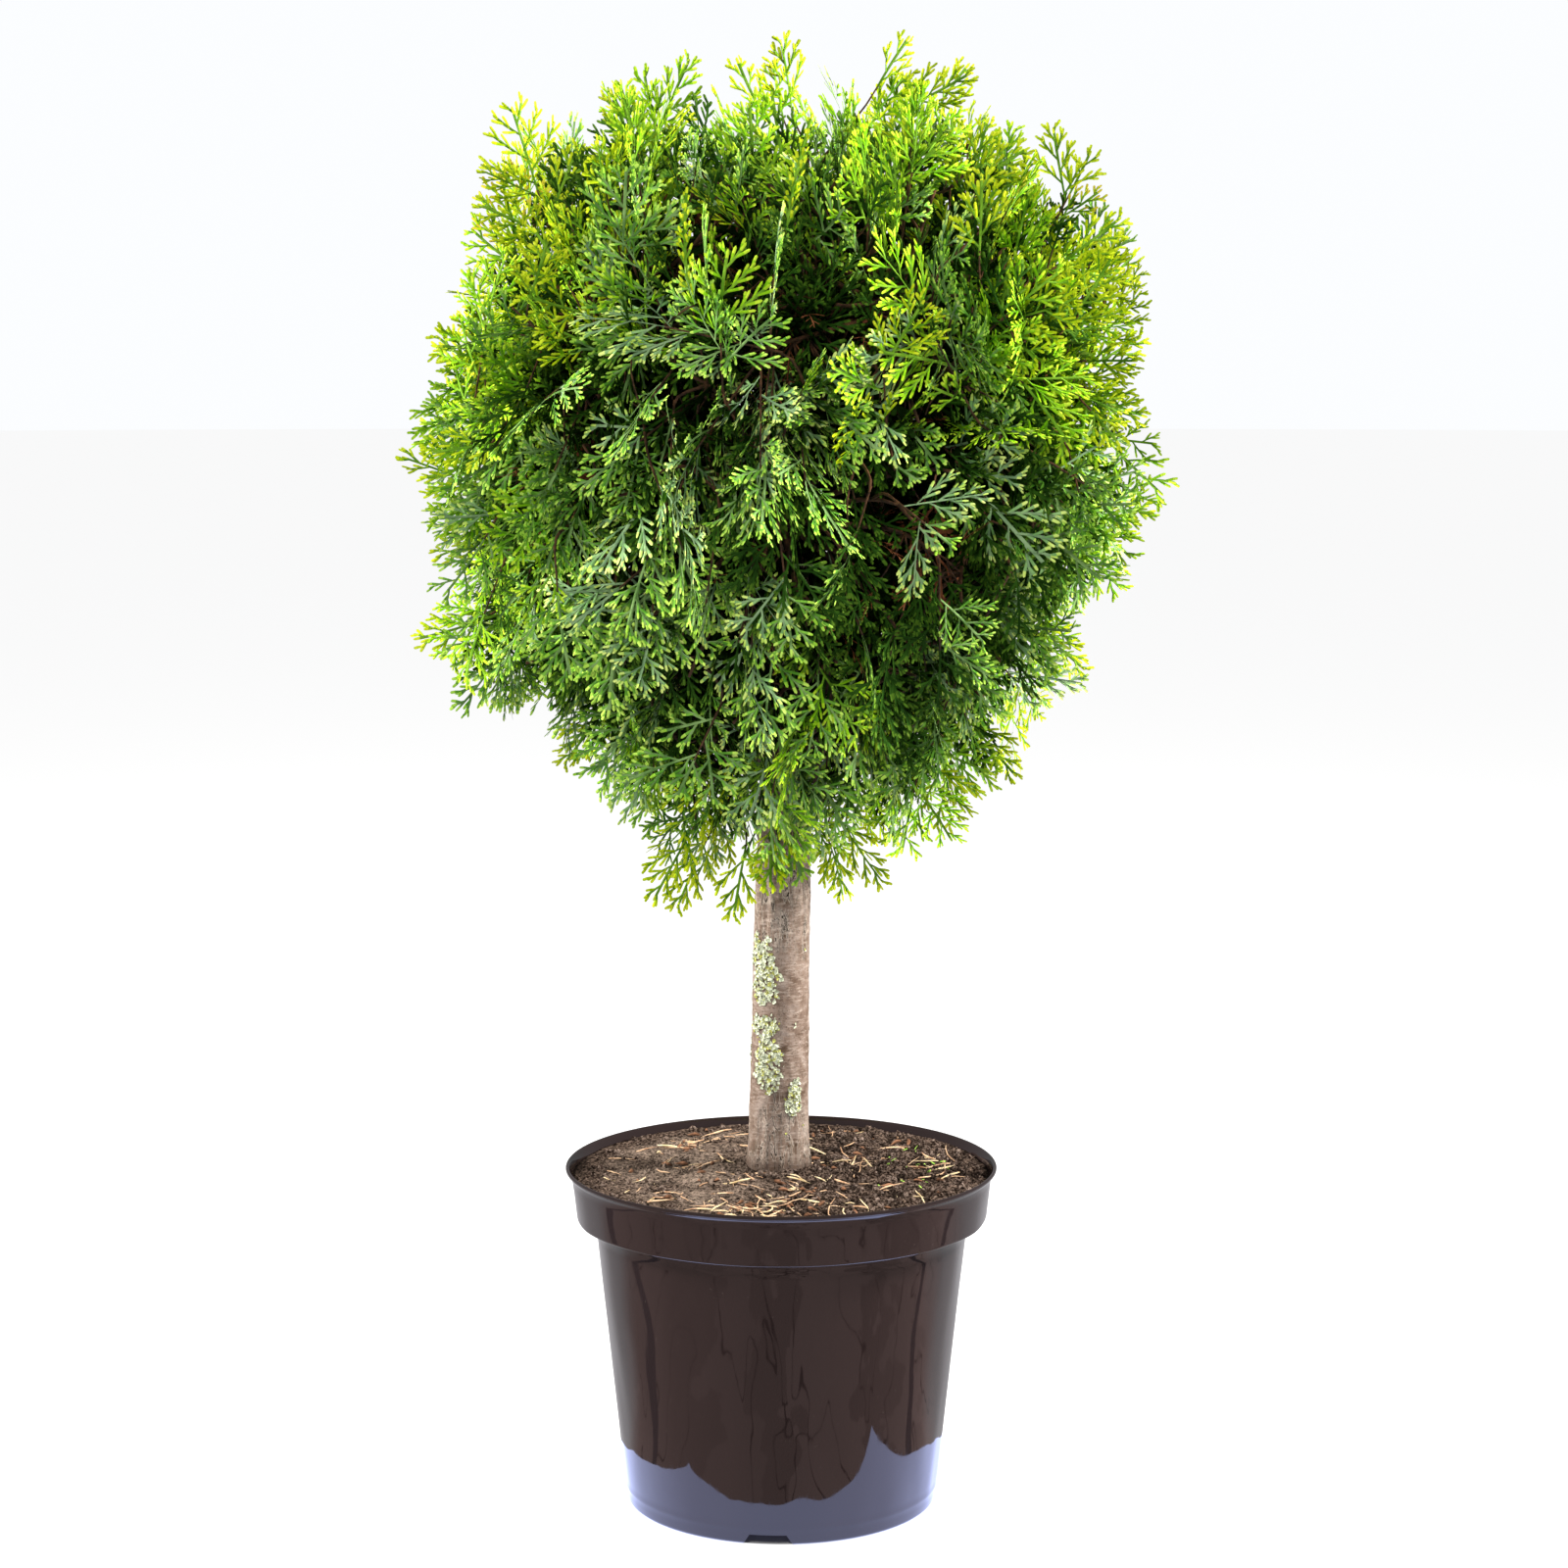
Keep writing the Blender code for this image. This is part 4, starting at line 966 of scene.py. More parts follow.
def litter_shares(mesh):
    """How thickly crumbs, roots and scraps lie at each point of the soil, as attributes."""
    shares = {"crumbs": [], "scraps": [], "sprouts": []}
    for vertex in mesh.vertices:
        x, y, z = vertex.co
        radius = math.hypot(x, y)
        lies = 1.0 if z > LITTER_LEVEL and LITTER_STEM < radius < LITTER_RIM else 0.0
        inside = lies if radius < SCRAPS_RIM else 0.0
        right = clipped(0.42 + x / 0.14)
        patch = 0.5 + noise.noise(Vector((x, y, 1.7)) / 0.030)
        front = math.exp(-((x + 0.010) ** 2 / 0.0035 + (y + 0.148) ** 2 / 0.0006))
        collar = max(0, 1 - abs(radius - 0.032) / 0.008)
        shares["crumbs"].append(lies * ((0.40 + 0.60 * right) * (0.5 + patch) + collar * 2))
        shares["scraps"].append(inside * (0.10 + 0.75 * max(0, patch) ** 3 + 1.8 * front))
        shares["sprouts"].append(inside * (1.0 if x > 0.085 and patch > 0.55 else 0.0))
    for name, values in shares.items():
        write_shares(mesh, name, values)


def make_litter(ground, materials):
    """Crumbs, roots, dry scraps and a few seedlings that lie on the soil."""
    draw = random.Random(SEED)
    tree = strewn_tree()
    litter_shares(ground.data)
    kinds = (
        ("soil_crumbs", "crumb", "crumbs", 95000, 1.2, 4.4, 6.0,
         [crumb(f"crumb_{i}", draw) for i in range(5)]),
        ("soil_clods", "clod", "crumbs", 9000, 3.5, 9.0, 4.0,
         [crumb(f"clod_{i}", draw, 0.6) for i in range(4)]),
        ("root_fibres", "fibre", "scraps", 3600, 0.6, 1.8, 0.30,
         [ribbon(f"fibre_{i}", draw, 22, 0.65, 0.55, 1.5) for i in range(6)]),
        ("straw_scraps", "straw", "scraps", 2400, 0.6, 1.9, 0.35,
         [ribbon(f"straw_{i}", draw, 17, 0.9, 0.6, 0.9) for i in range(6)]),
        ("bark_chips", "chip", "scraps", 3000, 0.6, 1.8, 0.5,
         [ribbon(f"chip_{i}", draw, 7, 2.2, 1.0, 0.3) for i in range(4)]),
        ("seedlings", "seedling", "sprouts", 2600, 0.6, 1.1, 1.6,
         [ribbon(f"seedling_{i}", draw, 8, 2.4, 0.5, 0.6) for i in range(3)]),
    )
    for number, (name, finish, where, density, small, large, tumble, shapes) in enumerate(kinds):
        pieces = library(name, shapes)
        made = grown(
            name, ground.data.copy(), tree, Pieces=pieces, Finish=materials[finish],
            Per_Square_Metre=float(density), Where=where, Smallest=small * MM,
            Largest=large * MM, Tumble=tumble, Seed=SEED + number)
        clear_library(pieces)
        finish_piece(made, "soil")


# Trunk and boughs


def trunk_point(height):
    """The middle of the trunk at a height. It ends upright, so that both cuts are level."""
    level = min(max(height, TRUNK_FOOT + TRUNK_END), TRUNK_TIP_HEIGHT - TRUNK_END)
    share = (level - TRUNK_FOOT) / (TRUNK_TIP_HEIGHT - TRUNK_FOOT)
    swing = math.sin(share * math.pi) * 0.006
    return Vector((TRUNK_FOOT_X + TRUNK_LEAN * share ** 1.3, swing, height))


def trunk_radius(height):
    """The trunk's radius at a height: flare, clear stem, then the taper in the crown."""
    flare = TRUNK_FLARE * math.exp(-(height - TRUNK_FOOT) / TRUNK_FLARE_HEIGHT)
    if height < TRUNK_NECK_HEIGHT:
        share = (height - TRUNK_FOOT) / (TRUNK_NECK_HEIGHT - TRUNK_FOOT)
        return TRUNK_FOOT_RADIUS + (TRUNK_NECK_RADIUS - TRUNK_FOOT_RADIUS) * share + flare
    share = (height - TRUNK_NECK_HEIGHT) / (TRUNK_TIP_HEIGHT - TRUNK_NECK_HEIGHT)
    return TRUNK_NECK_RADIUS + (TRUNK_TIP_RADIUS - TRUNK_NECK_RADIUS) * share


def cracked_share(azimuth, height):
    """How torn the bark is at a place, from 0 to 1: below the crown and at the foot, in patches."""
    patch = wave(azimuth, height, 1.7, 26, (8, 2))
    neck = clipped((height - TORN_ABOVE) / TORN_FADE)
    foot = clipped((TORN_BELOW - height) / TORN_FADE)
    return clipped(max(neck, foot) * 1.3 + patch * 1.4 - 0.30)


def bark_relief(azimuth, height, radius):
    """How far the bark stands off the trunk: splits, wrinkles and the foot's ribs."""
    fine = wave(azimuth, height, 9, 90, (0, 7))
    wrinkles = wave(azimuth, height, 2.2, 260, (9, 0))
    ribs = wave(azimuth, height, 2.6, 6, (0, 4))
    plates = wave(azimuth, height, 4.4, 15, (3, 0))
    foot = math.exp(-max(0, height - TRUNK_FOOT) / 0.040)
    torn = cracked_share(azimuth, height)
    depth = fine * 0.35 + wrinkles * 0.22 + plates * 1.6 * torn
    swell = wave(azimuth, height, 0.9, 13, (2, 2)) * 0.9
    return (depth + swell + ribs * 1.6 * foot) * MM * min(1, radius / 0.018)


def limb_faces(rings, sides):
    """The faces of a limb made of rings of points, with both its ends closed."""
    count = rings * sides
    ends = [tuple(range(sides))[::-1], tuple(range(count - sides, count))]
    return ring_faces(rings, sides) + ends


def make_trunk(material):
    """The trunk with its bark in relief, from the soil to its tip inside the crown."""
    segments = TRUNK_SEGMENTS
    heights = [TRUNK_FOOT - 0.004 + STEM_STEP * i for i in range(STEM_STEPS)]
    heights += [heights[-1] + TOP_STEP * i for i in range(1, TOP_STEPS)]
    heights = [height for height in heights if height < TRUNK_TIP_HEIGHT - 0.001]
    heights.append(TRUNK_TIP_HEIGHT - 0.0005)
    vertices = []
    for height in heights:
        middle, radius = trunk_point(height), trunk_radius(max(height, TRUNK_FOOT))
        for i in range(segments):
            azimuth = math.tau * i / segments
            reach = radius + bark_relief(azimuth, height, radius)
            vertices.append((
                middle.x + math.cos(azimuth) * reach, middle.y + math.sin(azimuth) * reach, height))
    faces = limb_faces(len(heights), segments)
    trunk = mesh_piece("trunk_bark", vertices, faces, material)
    write_shares(trunk.data, "cracked", [
        cracked_share(math.tau * i / segments, height)
        for height in heights for i in range(segments)])
    return finish_piece(trunk, "bark", "trunk")


def tube(path, radii, sides, roughness=0.0, seed=0.0):
    """The vertices and faces of a round limb along a path, with closed ends."""
    vertices = []
    side = None
    for i, (point, radius) in enumerate(zip(path, radii)):
        ahead = path[min(i + 1, len(path) - 1)] - path[max(i - 1, 0)]
        ahead.normalize()
        side = (side or ahead.orthogonal()) - ahead * ahead.dot(side or ahead.orthogonal())
        side.normalize()
        across = ahead.cross(side)
        for j in range(sides):
            turn = math.tau * j / sides
            out = side * math.cos(turn) + across * math.sin(turn)
            lump = noise.noise(point * 90 + out * 2 + Vector((seed, 0, 0))) * roughness
            vertices.append(tuple(point + out * radius * (1 + lump)))
    return vertices, limb_faces(len(path), sides)


def joined(name, parts, material, smooth=True):
    """One mesh object from many lists of vertices and faces."""
    vertices, faces = [], []
    for part_vertices, part_faces in parts:
        start = len(vertices)
        vertices += part_vertices
        faces += [tuple(start + i for i in face) for face in part_faces]
    return mesh_piece(name, vertices, faces, material, smooth)


def crown_radius(direction):
    """How far the crown reaches from its heart along a direction, tufts and dips included."""
    flat = math.hypot(direction.x, direction.y)
    upper = direction.z > 0
    half = CROWN_TOP - WAIST_HEIGHT if upper else WAIST_HEIGHT - CROWN_FOOT
    power = TOP_SQUARENESS if upper else FOOT_SQUARENESS
    plain = ((flat / WAIST_RADIUS) ** power + (abs(direction.z) / half) ** power) ** (-1 / power)
    azimuth = math.atan2(direction.y, direction.x)
    height = HEART.z + direction.z * plain
    reach = plain
    for tuft, tuft_height, size in TUFTS:
        turn = turn_from(tuft, azimuth)
        away = (turn / TUFT_ARC) ** 2 + ((height - tuft_height) / TUFT_HEIGHT) ** 2
        reach += size * math.exp(-away)
    return reach


def bough_path(azimuth, height, end_distance, core):
    """The points of a bough: out of the bark, then on towards its mass's core with a light sag."""
    out = polar(azimuth, 1, 0)
    beside = [height + BOUGH_FOOT_RADIUS * i for i in (-1.2, 0, 1.2)]
    bark_reach = max(trunk_point(level).dot(out) + trunk_radius(level) for level in beside)
    middle = trunk_point(height)
    root = middle + out * (bark_reach - middle.dot(out))
    collar = root + out * BOUGH_COLLAR
    heading = (core - collar).normalized()
    end = collar + heading * ((end_distance - collar.dot(out)) / heading.dot(out))
    shares = [i / 12 for i in range(13)]
    sags = [Vector((0, 0, math.sin(share * math.pi) * -BOUGH_SAG)) for share in shares]
    return [root] + [collar.lerp(end, share) + sag for share, sag in zip(shares, sags)]


def plan_crown():
    """The masses of foliage as (core, stem root, stem radius), and the boughs' paths."""
    masses, boughs = [], []
    for tier, count, first, distance, height, bough_height, end_distance in TIERS:
        for i in range(count):
            azimuth = math.radians(first) + i * math.tau / count
            core = polar(azimuth, distance, height)
            if tier == "top":
                tip = trunk_point(TRUNK_TIP_HEIGHT)
                core.xy = tip.xy
                masses.append((core, tip, TRUNK_TIP_RADIUS))
                continue
            path = bough_path(azimuth, bough_height, end_distance, core)
            boughs.append((f"bough_{tier}_{i + 1}", path))
            masses.append((core, path[-1], BOUGH_TIP_RADIUS))
    return masses, boughs


def make_boughs(boughs, material):
    """Each bough: a knobbly tapering limb with a swollen collar where it leaves the trunk."""
    for number, (name, path) in enumerate(boughs):
        radii = []
        for i in range(len(path)):
            share = i / (len(path) - 1)
            radius = BOUGH_FOOT_RADIUS + (BOUGH_TIP_RADIUS - BOUGH_FOOT_RADIUS) * share
            radii.append(radius + COLLAR_SWELL * math.exp(-share * 16))
        piece = joined(
            name + "_bark", [tube(path, radii, 20, roughness=0.16, seed=number * 3.1)], material)
        finish_piece(piece, "bark", name)


# Lichen


def lichen_share(azimuth, height):
    """How thickly lichen grows on the trunk: ragged patches, mostly down its front left side."""
    total = 0
    for middle, level, half_arc, half_height in LICHEN_PATCHES:
        turn = turn_from(middle, azimuth)
        away = (turn / math.radians(half_arc)) ** 2 + ((height - level) / half_height) ** 2
        total = max(total, 1.1 - away)
    ragged = noise.noise(Vector((azimuth * 2.6, height * 90, 3.0)))
    return clipped((total * 1.5 + ragged * 0.9 - 0.5) * 2.5)


def flake(name, draw):
    """One lichen lobe about 1 unit across: a wavy disc with a raised rim."""
    count = 8
    vertices = [(0, 0, 0.04)]
    for i in range(count):
        reach = 0.5 * draw.uniform(0.55, 1.1)
        turn = math.tau * i / count + draw.uniform(-0.2, 0.2)
        vertices.append((math.cos(turn) * reach, math.sin(turn) * reach, draw.uniform(0.10, 0.30)))
    faces = [(0, 1 + i, 1 + (i + 1) % count) for i in range(count)]
    return mesh_piece(name, vertices, faces, None, smooth=False)


def make_lichen(trunk, materials):
    """Lichen lobes strewn over the trunk where the patches lie."""
    draw = random.Random(SEED + 9)
    shares = []
    for vertex in trunk.data.vertices:
        x, y, z = vertex.co
        middle = trunk_point(z)
        low, high = LICHEN_ZONE
        shares.append(
            lichen_share(math.atan2(y - middle.y, x - middle.x), z) if low < z < high else 0.0)
    write_shares(trunk.data, "lichen", shares)
    tree = strewn_tree()
    for number, (name, finish, density, small, large) in enumerate((
        ("lichen_crust", "lichen", 230000, 1.8, 5.0),
        ("lichen_lobes", "lichen_lobes", 110000, 1.6, 4.2),
    )):
        pieces = library("flakes", [flake(f"flake_{i}", draw) for i in range(4)])
        made = grown(
            name, trunk.data.copy(), tree, Pieces=pieces, Finish=materials[finish],
            Per_Square_Metre=float(density), Where="lichen", Smallest=small * MM,
            Largest=large * MM, Tumble=0.8, Seed=SEED + 20 + number)
        clear_library(pieces)
        finish_piece(made, "bark")


# Sprays


def walk(start, heading, bend, reach):
    """A point at a distance along a branchlet that bends evenly, in the fan's own plane."""
    middle = heading + bend * reach / 2
    return start[0] + math.sin(middle) * reach, start[1] + math.cos(middle) * reach


def fork(draw, shape, strips, start=(0.0, 0.0), heading=0.0, length=80.0, level=0, bend=0.0, lift=0.0):
    """Adds a branchlet, and the smaller ones that fork off it by turns, left and right."""
    strips.append((start, heading, bend, length, level, lift))
    if level + 1 >= len(shape):
        return
    pitch, angle, share, power, bare = shape[level + 1]
    side = draw.choice((-1, 1))
    reach = bare * length + pitch * draw.uniform(0.2, 0.9)
    while reach < length - 3.0:
        left = 1 - reach / length
        stock = length if level == 0 else length * 0.6 + FINGER
        own = stock * share * left ** power * draw.uniform(0.85, 1.12)
        if own > SHORTEST_BRANCHLET:
            turn = side * math.radians(angle * (0.72 + 0.40 * left) * draw.uniform(0.90, 1.10))
            own_bend = -side * math.radians(angle * 0.30) / own
            own_lift = draw.uniform(-0.22, 0.22) if level == 0 else lift
            fork(
                draw, shape, strips, walk(start, heading, bend, reach), heading + bend * reach + turn,
                own, level + 1, own_bend, own_lift)
        side = -side
        reach += pitch * draw.uniform(0.85, 1.15)


def fan(name, draw, length, shape, widths, drape, curl, steps):
    """A flat fan of branchlets as three meshes: its green axes, its fingers and their paler tips.

    Its root is at the origin, it grows along Y, and its face looks along Z. It is 1 unit a metre.
    Each vertex carries its side of the blade, from -1 to 1.
    """
    strips = []
    fork(draw, shape, strips, length=length, bend=draw.uniform(-0.004, 0.004))
    meshes = {"axis": ([], [], []), "finger": ([], [], []), "tip": ([], [], [])}

    def placed(x, y, height, lift):
        """A point of the flat fan, in metres, once the fan drapes and curls."""
        rise = height + abs(x) * lift - drape * y * y / length - curl * x * x / length
        return x * MM, y * MM, rise * MM

    for start, heading, bend, reach, level, lift in strips:
        width = widths[level] * draw.uniform(0.90, 1.10)
        roll = draw.uniform(-0.5, 0.5)
        tip_length = min(reach * 0.45, TIP_LENGTH * draw.uniform(0.75, 1.3))
        count = steps[level]
        stations = [(reach - tip_length) * i / count for i in range(count + 1)]
        rows = []
        for i, station in enumerate(stations + [reach - tip_length * 0.25]):
            x, y = walk(start, heading, bend, station)
            turn = heading + bend * station
            share = 0.94 if i > count else 0.76 + 0.28 * min(1, station / (reach * 0.6))
            half = width * share / 2
            across = (math.cos(turn) * half, -math.sin(turn) * half)
            rise = roll * half
            rows.append((
                placed(x - across[0], y - across[1], -rise, lift),
                placed(x + across[0], y + across[1], rise, lift)))
        x, y = walk(start, heading, bend, reach)
        point = placed(x, y, 0.1, lift)
        vertices, faces, sides = meshes["axis" if level < 2 else "finger"]
        first = len(vertices)
        for row in rows[:count + 1]:
            vertices += row
            sides += (-1.0, 1.0)
        faces += [
            (first + i * 2, first + i * 2 + 1, first + i * 2 + 3, first + i * 2 + 2)
            for i in range(count)]
        vertices, faces, sides = meshes["tip"]
        first = len(vertices)
        vertices += [*rows[count], *rows[count + 1], point]
        sides += (-1.0, 1.0, -1.0, 1.0, 0.0)
        faces += [(first, first + 1, first + 3, first + 2), (first + 2, first + 3, first + 4)]
    made = []
    for part, (vertices, faces, sides) in meshes.items():
        piece = mesh_piece(f"{name}_{part}", vertices, faces, None)
        write_shares(piece.data, "side", sides)
        made.append(piece)
    return made


def spray_library():
    """The fans that the crown is dealt from, part by part, and each one's length in metres."""
    draw = random.Random(SEED + 2)
    parts, lengths = [], []
    for number, (kind, length) in enumerate(SPRAY_KINDS):
        shape, widths, drape, curl, steps = SPRAY_SHAPES[kind]
        parts.append(fan(
            f"spray_{number:02d}", draw, length, shape, widths, drape * draw.uniform(0.6, 1.4),
            curl * draw.uniform(0.2, 1.5), steps))
        lengths.append(length * MM)
    names = ("axes", "fingers", "tips")
    return [library(name, pieces) for name, pieces in zip(names, zip(*parts))], lengths


# Crown


def spiral(count, turn=0.0):
    """Directions spread evenly all round."""
    golden = math.pi * (3 - math.sqrt(5))
    for i in range(count):
        climb = 1 - 2 * (i + 0.5) / count
        flat = math.sqrt(1 - climb * climb)
        yield Vector((math.cos(golden * i + turn) * flat, math.sin(golden * i + turn) * flat, climb))


def lift_at(height):
    """How much a spray rises or droops at a height."""
    for (low, low_lift), (high, high_lift) in zip(LIFTS, LIFTS[1:]):
        if height < high:
            share = max(0, (height - low) / (high - low))
            return low_lift + (high_lift - low_lift) * share
    return LIFTS[-1][1]


def growth(tip, direction, draw, loose=0.30):
    """The heading and the face of a spray: neighbours lie alike, as on one branch.

    Towards the two sides more of them stand out, on edge; in front and behind more hang flat.
    """
    aside = abs(direction.x)
    out = direction * (0.50 + 0.70 * aside ** 1.5)
    drift = noise.noise_vector(tip / DRIFT_SIZE) * DRIFT_SHARE
    own = shaken(draw, loose)
    heading = Vector((out.x, out.y, lift_at(tip.z))) + drift + own
    heading.normalize()
    clump = noise.noise(tip / CLUMP_SIZE + Vector((7, 3, 1))) + draw.gauss(0, 0.25)
    if clump < 0.06 + 0.58 * aside:
        facing = Vector((-direction.y, direction.x, 0.0)) * draw.choice((-1, 1))
    else:
        facing = direction + Vector((0, 0, 0.35))
    facing -= heading * facing.dot(heading)
    if facing.length < 0.15:
        facing = heading.orthogonal()
    facing.normalize()
    facing.rotate(Matrix.Rotation(math.radians(draw.gauss(0, OWN_ROLL)), 3, heading))
    return heading, facing


def in_hollow(tip, hollows):
    """Whether a spray's tip lies in one of the crown's dark hollows."""
    return any((tip - middle).length < radius for middle, radius in hollows)


def clear_of_trunk(point):
    """Keeps a point a little way off the trunk's bark."""
    middle = trunk_point(point.z)
    away = Vector((point.x - middle.x, point.y - middle.y, 0))
    gap = trunk_radius(max(point.z, TRUNK_FOOT)) + BARK_GAP
    if point.z > TRUNK_TIP_HEIGHT or away.length > gap:
        return point
    away = away.normalized() if away.length > 0.001 else Vector((1, 0, 0))
    return Vector((middle.x, middle.y, point.z)) + away * gap


def bent_path(start, start_heading, end, end_heading, count):
    """The points of a smooth twig that leaves and arrives along given headings."""
    reach = (end - start).length
    inner = start + start_heading * reach * 0.36
    outer = end - end_heading * reach * 0.36
    points = []
    for i in range(count + 1):
        t = i / count
        u = 1 - t
        points.append(
            start * u ** 3 + inner * 3 * u * u * t + outer * 3 * u * t * t + end * t ** 3)
    return points


def grow_twigs(masses, draw):
    """Main twigs from each mass's stem towards the skin: their tubes, and points along them."""
    tubes, points = [], []
    for number, (core, root, radius) in enumerate(masses):
        path = bent_path(root, (core - root).normalized(), core, (core - root).normalized(), 5)
        tubes.append(tube(path, [radius * (1 - 0.08 * i) for i in range(6)], 9, 0.15, number))
    for direction in spiral(TWIG_COUNT, 0.6):
        end = HEART + direction * crown_radius(direction) * TWIG_REACH
        core = min((mass[0] for mass in masses), key=lambda place: (place - end).length)
        heading = growth(end, direction, draw, 0.15)[0]
        start = core + Vector([draw.uniform(-1, 1) for _ in range(3)]) * 0.006
        outward = (end - start).normalized()
        path = bent_path(start, outward, clear_of_trunk(end), (heading + outward).normalized(), 9)
        path = [clear_of_trunk(point) for point in path]
        low, high = TWIG_RADII[1], TWIG_RADII[0]
        tubes.append(tube(path, [high + (low - high) * i / 9 for i in range(10)], 5, 0.12, len(tubes)))
        points += path[2:]
    return tubes, points


def crown_lump(direction):
    """How far the crown swells along a direction, from about 0 in its folds to 1 on its clumps."""
    lump = 0.5 + 0.5 * noise.noise(direction * 6.6 + Vector((1, 4, 2)))
    return lump + 0.25 * noise.noise(direction * 13 + Vector((3, 1, 8)))


def lightness(tip, direction, lump, draw, spread):
    """How light a spray's tint is, as painted light and shade with yellow young growth mixed in: the
    upper corners and the two sides are light, the front's middle isn't, and clumps are lighter than
    folds.
    """
    light = lump * 0.5 - 0.20 + draw.gauss(0, spread)
    light += 0.26 * noise.noise(tip / 0.11 + Vector((4, 4, 9)))
    azimuth = math.atan2(direction.y, direction.x)
    for middle, height, amount in LIGHT_AND_GROWTH_AREAS:
        turn = turn_from(middle, azimuth)
        away = (turn / LIGHT_AND_GROWTH_ARC) ** 2 + ((tip.z - height) / LIGHT_AND_GROWTH_HEIGHT) ** 2
        light += amount * math.exp(-away)
    return light


def inward_of_skin(tip, heading, direction, reach):
    """Turns a heading outwards until its foot lies inside the crown."""
    for _ in range(8):
        foot = tip - heading * reach - HEART
        if foot.length < crown_radius(foot.normalized()) * FOOT_LIMIT:
            break
        heading = (heading + direction * 0.3).normalized()
    return heading


def kept_in(tip):
    """Moves a tip back to the crown's skin where it stands too far out."""
    away = tip - HEART
    return HEART + away * min(1, crown_radius(away.normalized()) * SKIN_LIMIT / away.length)


def pick_kind(kinds, height, draw):
    """Which fan grows at a height: upright ones are common near the top."""
    chance = draw.random()
    fans = UPPER_FANS if height > SHOULDER else LOWER_FANS
    return draw.choice(kinds[next(name for name, limit in fans if chance < limit)])


def squared(facing, heading):
    """A spray's face, turned square to its heading."""
    return (facing - heading * facing.dot(heading)).normalized()


def hollow_places():
    """The middles and radii of the crown's dark hollows, just under its skin."""
    hollows = []
    for azimuth, height, radius in HOLLOWS:
        flat = polar(math.radians(azimuth), 1, 0)
        rise = (height - HEART.z) / WAIST_RADIUS
        direction = (flat * math.sqrt(max(0.1, 1 - rise * rise)) + Vector((0, 0, rise))).normalized()
        middle = HEART + direction * crown_radius(direction) * HOLLOW_DEPTH
        hollows.append((middle, radius * HOLLOW_SPREAD))
    return hollows


def plan_branches(kinds, lengths, draw, hollows):
    """The outer branches, as (foot, end, heading, sprays): each bears fans by turns in one plane."""
    branches = []
    for direction in spiral(BRANCH_COUNT, 0.9):
        direction = (direction + shaken(draw, 0.05)).normalized()
        reach = crown_radius(direction)
        if draw.random() > (reach / CROWN_CORNER) ** 2:
            continue
        lump = crown_lump(direction)
        reach = reach * BRANCH_REACH - FOLD_DEPTH * (1 - lump) + draw.gauss(0, 0.008)
        tip = kept_in(HEART + direction * reach)
        heading, facing = growth(tip, direction, draw, 0.24)
        heading = inward_of_skin(tip, heading, direction, 0.140)
        facing = squared(facing, heading)
        across = heading.cross(facing)
        light = lightness(tip, direction, lump, draw, 0.20)
        # In the top a spray is either in painted dim shade or at least fresh green
        if tip.z > TOP_HEIGHT:
            light = TOP_DARK if light < TOP_DARK_BELOW else max(light, TOP_FRESH)
        # In the crown's folds a spray gets painted shade: its lightness is kept low
        light = min(light, FOLD_LIGHT) if lump < FOLD_LUMP else light
        kind = pick_kind(kinds, tip.z, draw)
        size = draw.uniform(*TIP_SIZES)
        end = clear_of_trunk(tip - heading * lengths[kind] * size)
        sprays = [(kind, end, heading, facing, size, light)]
        side = draw.choice((-1, 1))
        behind = 0.004
        for _ in range(draw.randint(*BRANCH_SPRAYS)):
            kind = pick_kind(kinds, tip.z, draw)
            size = draw.uniform(*SIDE_SIZES)
            spot = clear_of_trunk(end - heading * behind)
            turn = side * math.radians(draw.uniform(*SIDE_TURN))
            own = heading * math.cos(turn) + across * math.sin(turn)
            own = kept_in(spot + own * lengths[kind] * size) - spot
            size = own.length / lengths[kind]
            own.normalize()
            face = squared(facing, own)
            face.rotate(Matrix.Rotation(math.radians(draw.gauss(0, SIDE_ROLL)), 3, own))
            sprays.append((kind, spot, own, face, size, light + draw.gauss(0, 0.14)))
            side = -side
            behind += BRANCH_STEP * draw.uniform(0.8, 1.2)
        sprays = [
            spray for spray in sprays
            if not in_hollow(spray[1] + spray[2] * lengths[spray[0]] * spray[4], hollows)]
        foot = clear_of_trunk(end - heading * behind)
        branches.append((foot, end, heading, [("outer", *spray) for spray in sprays]))
    return branches


